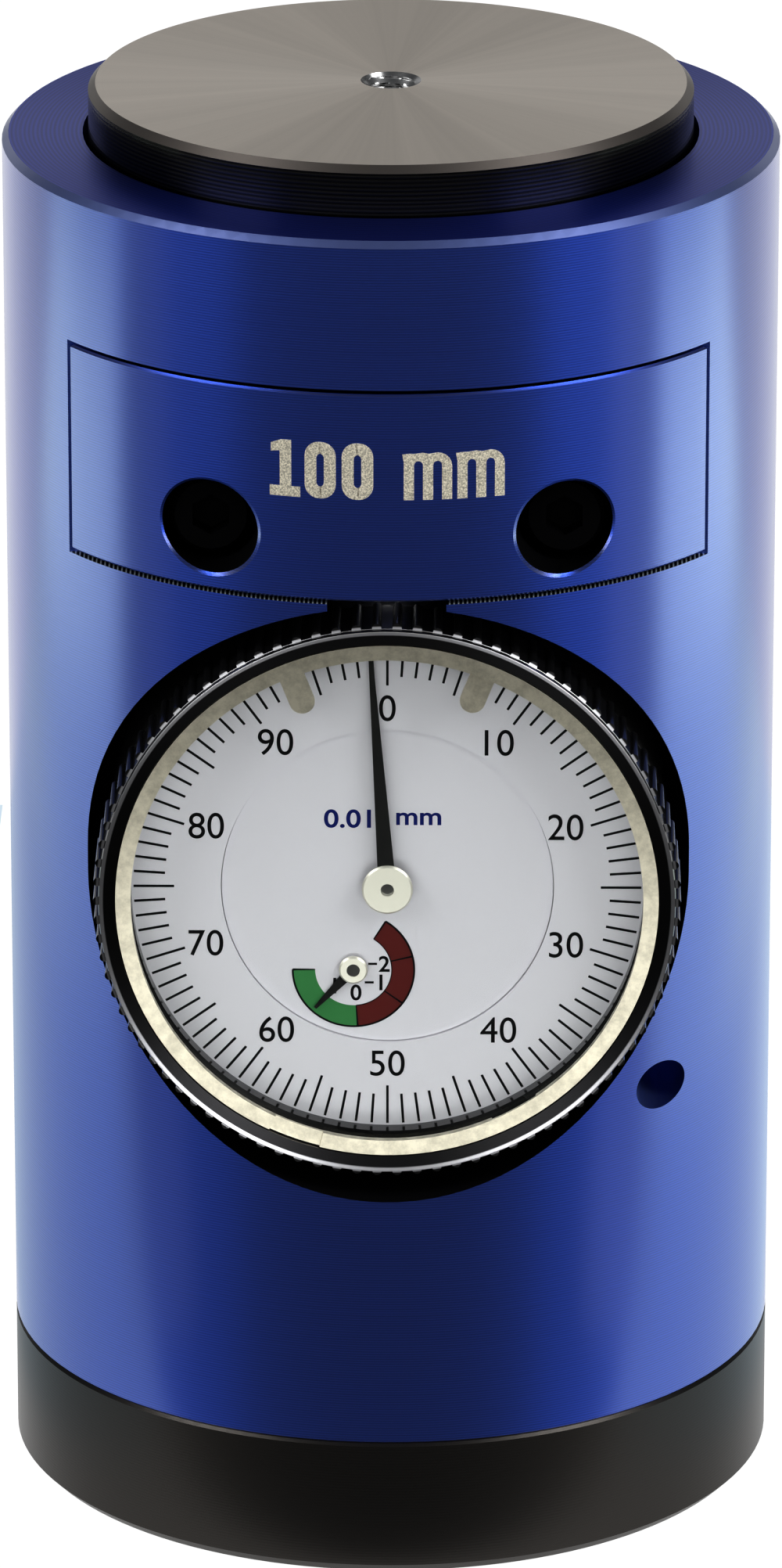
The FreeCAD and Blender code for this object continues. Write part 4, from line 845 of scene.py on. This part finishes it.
def print_ticks():
    """A hundred divisions round the scale ring, every fifth one longer."""
    mesh = grown(
        tick_tree(),
        Count=100,
        Long_Every=5,
        Outer_Radius=17.5 * MM,
        Short=2.15 * MM,
        Long=2.8 * MM,
        Width=0.175 * MM,
        Depth=PRINT_DEPTH,
        Ink=FINISH["black"],
    )
    mesh.transform(on_dial(SCALE_FRONT))
    return piece("scale_ticks", mesh, "black", "bezel")


def print_numerals():
    """The upright numerals 0 to 90 inside the divisions, some shifted off their circle."""
    radius = 13.05 * MM
    height = 1.98 * MM
    shifts = {20: (-0.15, 0.37), 30: (-0.08, -0.2), 70: (-0.12, -0.14), 80: (-0.05, 0.4)}
    glyphs = []
    for value in range(0, 100, 10):
        angle = math.radians(90 - 3.6 * value)
        across, up = shifts.get(value, (0, 0))
        spot = (radius * math.cos(angle) + across * MM, radius * math.sin(angle) + up * MM, 0)
        glyph = text_mesh(str(value), height, PRINT_DEPTH, 0.96)
        glyphs.append((glyph, on_dial(SCALE_FRONT) @ Matrix.Translation(spot)))
    return piece("scale_numerals", joined(glyphs), "black", "bezel")


COUNTER_X = -2.35 * MM
COUNTER_Y = -6.2 * MM
BAND_INNER = 2.65 * MM
BAND_OUTER = 4.2 * MM


def sector(inner, outer, start, end, step=3.0):
    """The outline of a ring's sector, in degrees counted anticlockwise from the right."""
    count = max(2, round(abs(end - start) / step))
    angles = [math.radians(start + (end - start) * turn / count) for turn in range(count + 1)]
    rim = [(outer * math.cos(angle), outer * math.sin(angle)) for angle in angles]
    core = [(inner * math.cos(angle), inner * math.sin(angle)) for angle in reversed(angles)]
    return rim + core


def print_counter():
    """The revolution counter's scale: a green and a dark red band with turns 1 to -2.

    Angles are in degrees, and the labels' and the dash's places in millimetres.
    """
    green_start = 180.0
    zero = 274.0
    red_end = 418.0
    turn = 49.8
    line = 0.13 * MM
    label_height = 1.18 * MM
    label_weight = 0.025 * MM
    place = on_dial(CENTRE_FRONT) @ Matrix.Translation((COUNTER_X, COUNTER_Y, 0))
    green = prism(sector(BAND_INNER, BAND_OUTER, green_start, zero), PRINT_DEPTH)
    green_band = piece("counter_green", joined([(green, place)]), "green", "housing")
    red = prism(sector(BAND_INNER, BAND_OUTER, zero, red_end), PRINT_DEPTH)
    red_band = piece("counter_red", joined([(red, place)]), "red", "housing")
    raised = place @ Matrix.Translation((0, 0, PRINT_DEPTH))
    half = math.degrees(line / 2 / BAND_OUTER)
    rim = sector(BAND_OUTER - line / 2, BAND_OUTER + line / 2, green_start, red_end)
    lines = [(prism(rim, PRINT_DEPTH), raised)]
    inner_rim = sector(BAND_INNER - line / 4, BAND_INNER + line / 4, zero, red_end)
    lines.append((prism(inner_rim, PRINT_DEPTH), raised))
    for angle in (green_start, zero, zero + turn, zero + 2 * turn, red_end):
        bar = sector(BAND_INNER, BAND_OUTER, angle - half, angle + half, step=half)
        lines.append((prism(bar, PRINT_DEPTH), raised))
    labels = {"1": (-1.3, -1.2), "0": (0.17, -1.7), "-1": (1.9, -0.95), "-2": (2.13, 0.42)}
    dash_corners = ((-1.12, -0.08), (-0.5, -0.08), (-0.5, 0.08), (-1.12, 0.08))
    dash = [(x * MM, y * MM) for x, y in dash_corners]
    for words, (x, y) in labels.items():
        spot = place @ Matrix.Translation((x * MM, y * MM, 0))
        glyph = text_mesh(words[-1], label_height, PRINT_DEPTH, weight=label_weight)
        lines.append((glyph, spot))
        if len(words) > 1:
            lines.append((prism(dash, PRINT_DEPTH), spot))
    return green_band, red_band, piece("counter_print", joined(lines), "black", "housing")


def print_unit():
    """The value of one division above the dial's centre."""
    height = 1.35 * MM
    weight = 0.03 * MM
    rise = 4.9 * MM
    glyphs = []
    for words, across in (("0.01", -2.75 * MM), ("mm", 2.15 * MM)):
        glyph = text_mesh(words, height, PRINT_DEPTH, width=1.15, weight=weight)
        glyphs.append((glyph, on_dial(CENTRE_FRONT) @ Matrix.Translation((across, rise, 0))))
    return piece("unit_print", joined(glyphs), "navy", "housing")


# Engraving on the clamp cover


def wrapped(mesh, radius, height):
    """Bends a flat drawing round the housing's front, its z becoming the distance outwards."""
    work = bmesh.new()
    work.from_mesh(mesh)
    xs = [vertex.co.x for vertex in work.verts]
    step = 0.4 * MM
    cut = min(xs) + step
    while cut < max(xs):
        everything = work.verts[:] + work.edges[:] + work.faces[:]
        bmesh.ops.bisect_plane(work, geom=everything, plane_co=(cut, 0, 0), plane_no=(1, 0, 0))
        cut += step
    for vertex in work.verts:
        angle = vertex.co.x / radius
        out = radius + vertex.co.z
        vertex.co = (out * math.sin(angle), -out * math.cos(angle), vertex.co.y + height)
    work.to_mesh(mesh)
    work.free()
    return mesh


def rounded(left, low, right, high, radius, steps=6):
    """The outline of a rectangle with round corners."""
    points = []
    corners = ((right, high, 0), (left, high, 90), (left, low, 180), (right, low, 270))
    for x, y, start in corners:
        centre_x = x - radius if start in (0, 270) else x + radius
        centre_y = y - radius if start in (0, 90) else y + radius
        for step in range(steps + 1):
            angle = math.radians(start + 90 * step / steps)
            x_part = radius * math.cos(angle)
            y_part = radius * math.sin(angle)
            points.append((centre_x + x_part, centre_y + y_part))
    return points


def digit_one(left, size, depth):
    """The engraver's 1, with a foot and a flag."""
    high, wide, stroke = size
    middle = left + wide * 0.52
    half = stroke / 2
    flag_low = high * 0.78
    outline = [
        (left, 0.0),
        (left + wide, 0.0),
        (left + wide, stroke * 0.9),
        (middle + half, stroke * 0.9),
        (middle + half, high),
        (middle - half * 0.7, high),
        (left + wide * 0.04, high * 0.93),
        (left + wide * 0.04, flag_low),
        (middle - half, high * 0.8),
        (middle - half, stroke * 0.9),
        (left, stroke * 0.9),
    ]
    return prism(outline, depth)


def digit_zero(left, size, depth):
    """The engraver's 0, a tall round-cornered loop."""
    high, wide, stroke = size
    outer = rounded(left, 0.0, left + wide, high, wide * 0.46)
    inner = rounded(left + stroke, stroke, left + wide - stroke, high - stroke, wide * 0.16)
    return loop_plate(outer, inner, depth)


def letter_m(left, size, depth):
    """The engraver's m: a stem and two arches, drawn as one outline."""
    high, wide, stroke = size
    gap = (wide - 3 * stroke) / 2
    arch = gap / 2
    shoulder = stroke + arch
    outline = [(left, 0.0), (left + stroke, 0.0)]
    for number in range(2):
        inner_left = left + stroke + number * (gap + stroke)
        centre = inner_left + arch
        rise = high - stroke * 0.85 - arch
        for step in range(7):
            angle = math.pi - math.pi * step / 6
            outline.append((centre + arch * math.cos(angle), rise + arch * math.sin(angle)))
        foot = inner_left + gap
        outline += [(foot, 0.0), (foot + stroke, 0.0)]
    right = left + wide
    for step in range(6):
        angle = math.pi / 2 * step / 5
        outline.append(
            (right - shoulder * (1 - math.cos(angle)), high - shoulder * (1 - math.sin(angle)))
        )
    outline += [(left + stroke + gap + stroke * 0.6, high - stroke * 0.12)]
    outline += [(left + stroke + gap, high), (left + stroke, high - stroke * 0.1)]
    outline += [(left + stroke * 0.55, high * 0.985), (left - stroke * 0.15, high * 0.97)]
    outline += [(left, high * 0.8)]
    return prism(outline, depth)


def engrave_height():
    """The nominal height, lasered into the cover's dye."""
    depth = 0.008 * MM
    foot = 79.33 * MM
    stroke = 0.82 * MM
    digit = (4.02 * MM, 2.15 * MM, stroke)
    small = (3.36 * MM, 3.3 * MM, 0.7 * MM)
    glyphs = [digit_one(-8.05 * MM, digit, depth)]
    glyphs += [digit_zero(left * MM, digit, depth) for left in (-5.6, -3.05)]
    glyphs += [letter_m(left * MM, small, depth) for left in (1.15, 4.8)]
    sunk = 0.002 * MM
    for number, glyph in enumerate(glyphs):
        mesh = wrapped(glyph, HOUSING_RADIUS - sunk, foot)
        piece(f"height_engraving_{number}", mesh, "engraved", "housing")


# Anvil with its thread


def make_anvil():
    """The anvil plate turned anew, with a real thread cut into its hole."""
    low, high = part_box("anvil_plate")
    foot, top, radius = low.z, high.z, high.x
    edge = 0.5 * MM
    spigot_radius = 4.0 * MM
    spigot_top = foot + 2.5 * MM
    minor = 1.65 * MM
    major = 2.0 * MM
    pitch = 0.7 * MM
    steps_per_turn = 10
    mouth = 0.1 * MM
    countersink = 0.25 * MM

    def thread(height):
        def size(angle):
            phase = (height / pitch - angle / (2 * math.pi)) % 1.0
            return minor + (major - minor) * (1 - abs(2 * phase - 1))

        return size

    rings = [(spigot_radius, foot), (radius - edge, foot), (radius, foot + edge)]
    rings += [(radius, top - edge), (radius - edge, top), (major + mouth, top)]
    hole_top = top - countersink
    count = round((hole_top - spigot_top) / pitch * steps_per_turn)
    for step in range(count + 1):
        height = hole_top + (spigot_top - hole_top) * step / count
        rings.append((thread(height), height))
    rings.append((spigot_radius, spigot_top))
    mesh = lathe(rings)
    smooth_edges(mesh)
    made = piece("anvil_finished", mesh, "face", body_named("anvil_plate"))
    slots = {}
    for finish in ("wall", "rim", "tapped"):
        slots[finish] = len(mesh.materials)
        mesh.materials.append(FINISH[finish])
    for face in mesh.polygons:
        flat = face.center.to_2d().length
        if flat < spigot_radius and foot < face.center.z < top - 0.1 * edge:
            face.material_index = slots["tapped"]
        elif flat > radius - 0.6 * edge:
            face.material_index = slots["wall" if abs(face.normal.z) < 0.5 else "rim"]
    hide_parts("anvil_plate")


# Surroundings


def soft_panel(name, place, target, width, height, power):
    """A softbox at a place, facing a target."""
    lamp = bpy.data.lights.new(name, "AREA")
    lamp.shape = "RECTANGLE"
    lamp.size = width
    lamp.size_y = height
    lamp.energy = power
    holder = new_object(name, lamp)
    holder.location = place
    way = Vector(target) - Vector(place)
    holder.rotation_euler = way.to_track_quat("-Z", "Y").to_euler()
    return holder


# Tints of the light table beside the housing
COOL = (0.83, 0.98, 1.08)
GREENISH = (0.9, 1.04, 0.93)
WHITE = (1.0, 1.0, 1.0)

# The line across the table just in front of the base, between the light strips and dark cards
CARD_EDGE = -0.0295
CARD_REACH = 0.9


def stage_sheet(name, corners, height, glow, tint=WHITE):
    """A black sheet lying on the table, not part of the object; glow is its own light."""
    mesh = bpy.data.meshes.new(name)
    mesh.from_pydata([(x, y, height) for x, y in corners], [], [tuple(range(len(corners)))])
    made = new_object(name, mesh)
    finish = material(name, (0.0, 0.0, 0.0), roughness=0.9, Emission_Strength=glow)
    shader_of(finish).inputs["Emission Color"].default_value = (*tint, 1.0)
    mesh.materials.append(finish)


def side_sheet(name, side, corners, height, glow, tint=WHITE):
    """A sheet drawn for the right, or mirrored to the left where side is -1."""
    placed = [(side * x, y) for x, y in corners]
    stage_sheet(name, placed[::side], height, glow, tint)


def light_only(lamp, pieces):
    """Keeps a lamp's light to these pieces, as a flag beside it would."""
    lit = bpy.data.collections.new("lit_by_" + lamp.name)
    for made in pieces:
        lit.objects.link(made)
    lamp.light_linking.receiver_collection = lit


def set_surroundings(dial_pieces, metal_pieces, bezel):
    """A light table, dark cards in front that the blue housing mirrors, and softboxes.

    The sheets lie in three levels just under the base.
    """
    table_level = -0.0003
    card_level = -0.0002
    strip_level = -0.0001
    stage_sheet("table", ((-3, -1.5), (3, -1.5), (3, 4), (-3, 4)), table_level, 1.02)
    card_joint = -0.17
    cards = (("near_card", CARD_EDGE, card_joint, 0.04), ("far_card", card_joint, -1.2, 0.03))
    for name, back, front, glow in cards:
        left = ((-CARD_REACH, back), (-CARD_REACH, front))
        right = ((CARD_REACH, front), (CARD_REACH, back))
        stage_sheet(name, left + right, card_level, glow)
    wedge = ((0.05, CARD_EDGE), (0.05, -0.045), (CARD_REACH, -0.33), (CARD_REACH, CARD_EDGE))
    strip_back = 0.13
    shade = ((0.33, 3.0), (0.33, CARD_EDGE), (3.0, CARD_EDGE), (3.0, 3.0))
    for side, wedge_glow, strip_glow, reach in ((-1, 0.25, 2.0, 0.12), (1, 0.42, 2.5, 0.1)):
        side_sheet("wedge", side, wedge, strip_level, wedge_glow)
        parts = (
            (0.034, reach, 0.4, COOL),
            (reach, 0.2, 0.54, GREENISH),
            (0.2, 0.33, 1.25, GREENISH),
        )
        for start, end, share, tint in parts:
            strip = ((start, strip_back), (start, CARD_EDGE), (end, CARD_EDGE), (end, strip_back))
            side_sheet("side_strip", side, strip, strip_level, share * strip_glow, tint)
        side_sheet("side_shade", side, shade, strip_level, 0.15)
    middle = (0, 0, 0.05)
    dial = (0, -0.03, 0.05)
    soft_panel("left_key", (-0.82, -0.42, 0.75), middle, 0.6, 0.6, 8.5)
    soft_panel("right_key", (0.82, -0.42, 0.75), middle, 0.6, 0.6, 11.5)
    soft_panel("front_key", (0, -1.0, 0.42), middle, 1.5, 0.3, 2.4)
    soft_panel("back_box", (0, 1.3, 0.48), (0, 0, 0.08), 2.2, 0.7, 2.4)
    below = soft_panel("dial_box", (0, -0.11, 0.004), dial, 0.16, 0.07, 0.12)
    light_only(below, dial_pieces)
    for side, power in ((-1, 6.0), (1, 11.0)):
        fan = soft_panel("bezel_box", (side * 0.38, -0.93, 0.26), dial, 0.4, 0.4, power)
        light_only(fan, [bezel])
        rake = soft_panel("teeth_box", (side * 0.6, -0.1, 0.2), dial, 0.3, 0.3, 1.6)
        light_only(rake, [bezel])
    lower = soft_panel("ring_box", (0, -0.08, 0.017), (0, -0.03, 0.038), 0.2, 0.03, 0.033)
    light_only(lower, metal_pieces)
    world = bpy.data.worlds.new("room")
    bpy.context.scene.world = world
    world.use_nodes = True
    sky = world.node_tree.nodes["Background"]
    sky.inputs["Color"].default_value = (0.95, 0.97, 1.0, 1.0)
    sky.inputs["Strength"].default_value = 0.15


def set_camera():
    """The photograph's view: a long lens, 20 degrees above the table and a little to the right."""
    target = Vector((0, 0, 49.13 * MM))
    distance = 759.85 * MM
    rise = math.radians(19.971)
    swing = math.radians(0.62)
    level = distance * math.cos(rise)
    lens = bpy.data.cameras.new("camera")
    lens.sensor_width = 36.0
    lens.lens = 246.07
    holder = new_object("camera", lens)
    holder.location = target + Vector(
        (level * math.sin(swing), -level * math.cos(swing), distance * math.sin(rise))
    )
    holder.rotation_euler = (target - holder.location).to_track_quat("-Z", "Y").to_euler()
    bpy.context.scene.camera = holder
    bpy.context.scene.view_settings.view_transform = "Standard"
    bpy.context.scene.view_settings.gamma = 0.8


for name, finish in NODE_FINISH.items():
    data = frame["nodes"][name].data
    data.materials.clear()
    data.materials.append(FINISH[finish])

finished = {name: finished_copy(name) for name in TURNED}
# Painted shade: near black in the cover's counterbores and the dial's pocket
refinish(finished["clamp_cover"], "bore", in_counterbore)
refinish(finished["body"], "bore", in_pocket)
refinish(finished["body"], "ring", on_top_ring)
refinish(finished["body"], "edge", on_top_edge)
refinish(finished["body"], "ledge", on_ledge)
refinish(finished["body"], "drilled", in_side_hole)
refinish(finished["bezel"], "bezel_front", on_bezel_front)

make_anvil()
printed = [print_ticks(), print_numerals(), print_unit(), *print_counter()]
engrave_height()
dial_names = ("scale_ring", "centre_dial", "main_hand", "counter_hand")
on_the_dial = [finished[name] for name in dial_names]
on_the_glass = [finished[name] for name in ("marker_left", "marker_right", "main_hub")]
on_the_glass.append(frame["nodes"]["counter_hub"])
set_surroundings(printed + on_the_dial, on_the_glass, finished["bezel"])
set_camera()
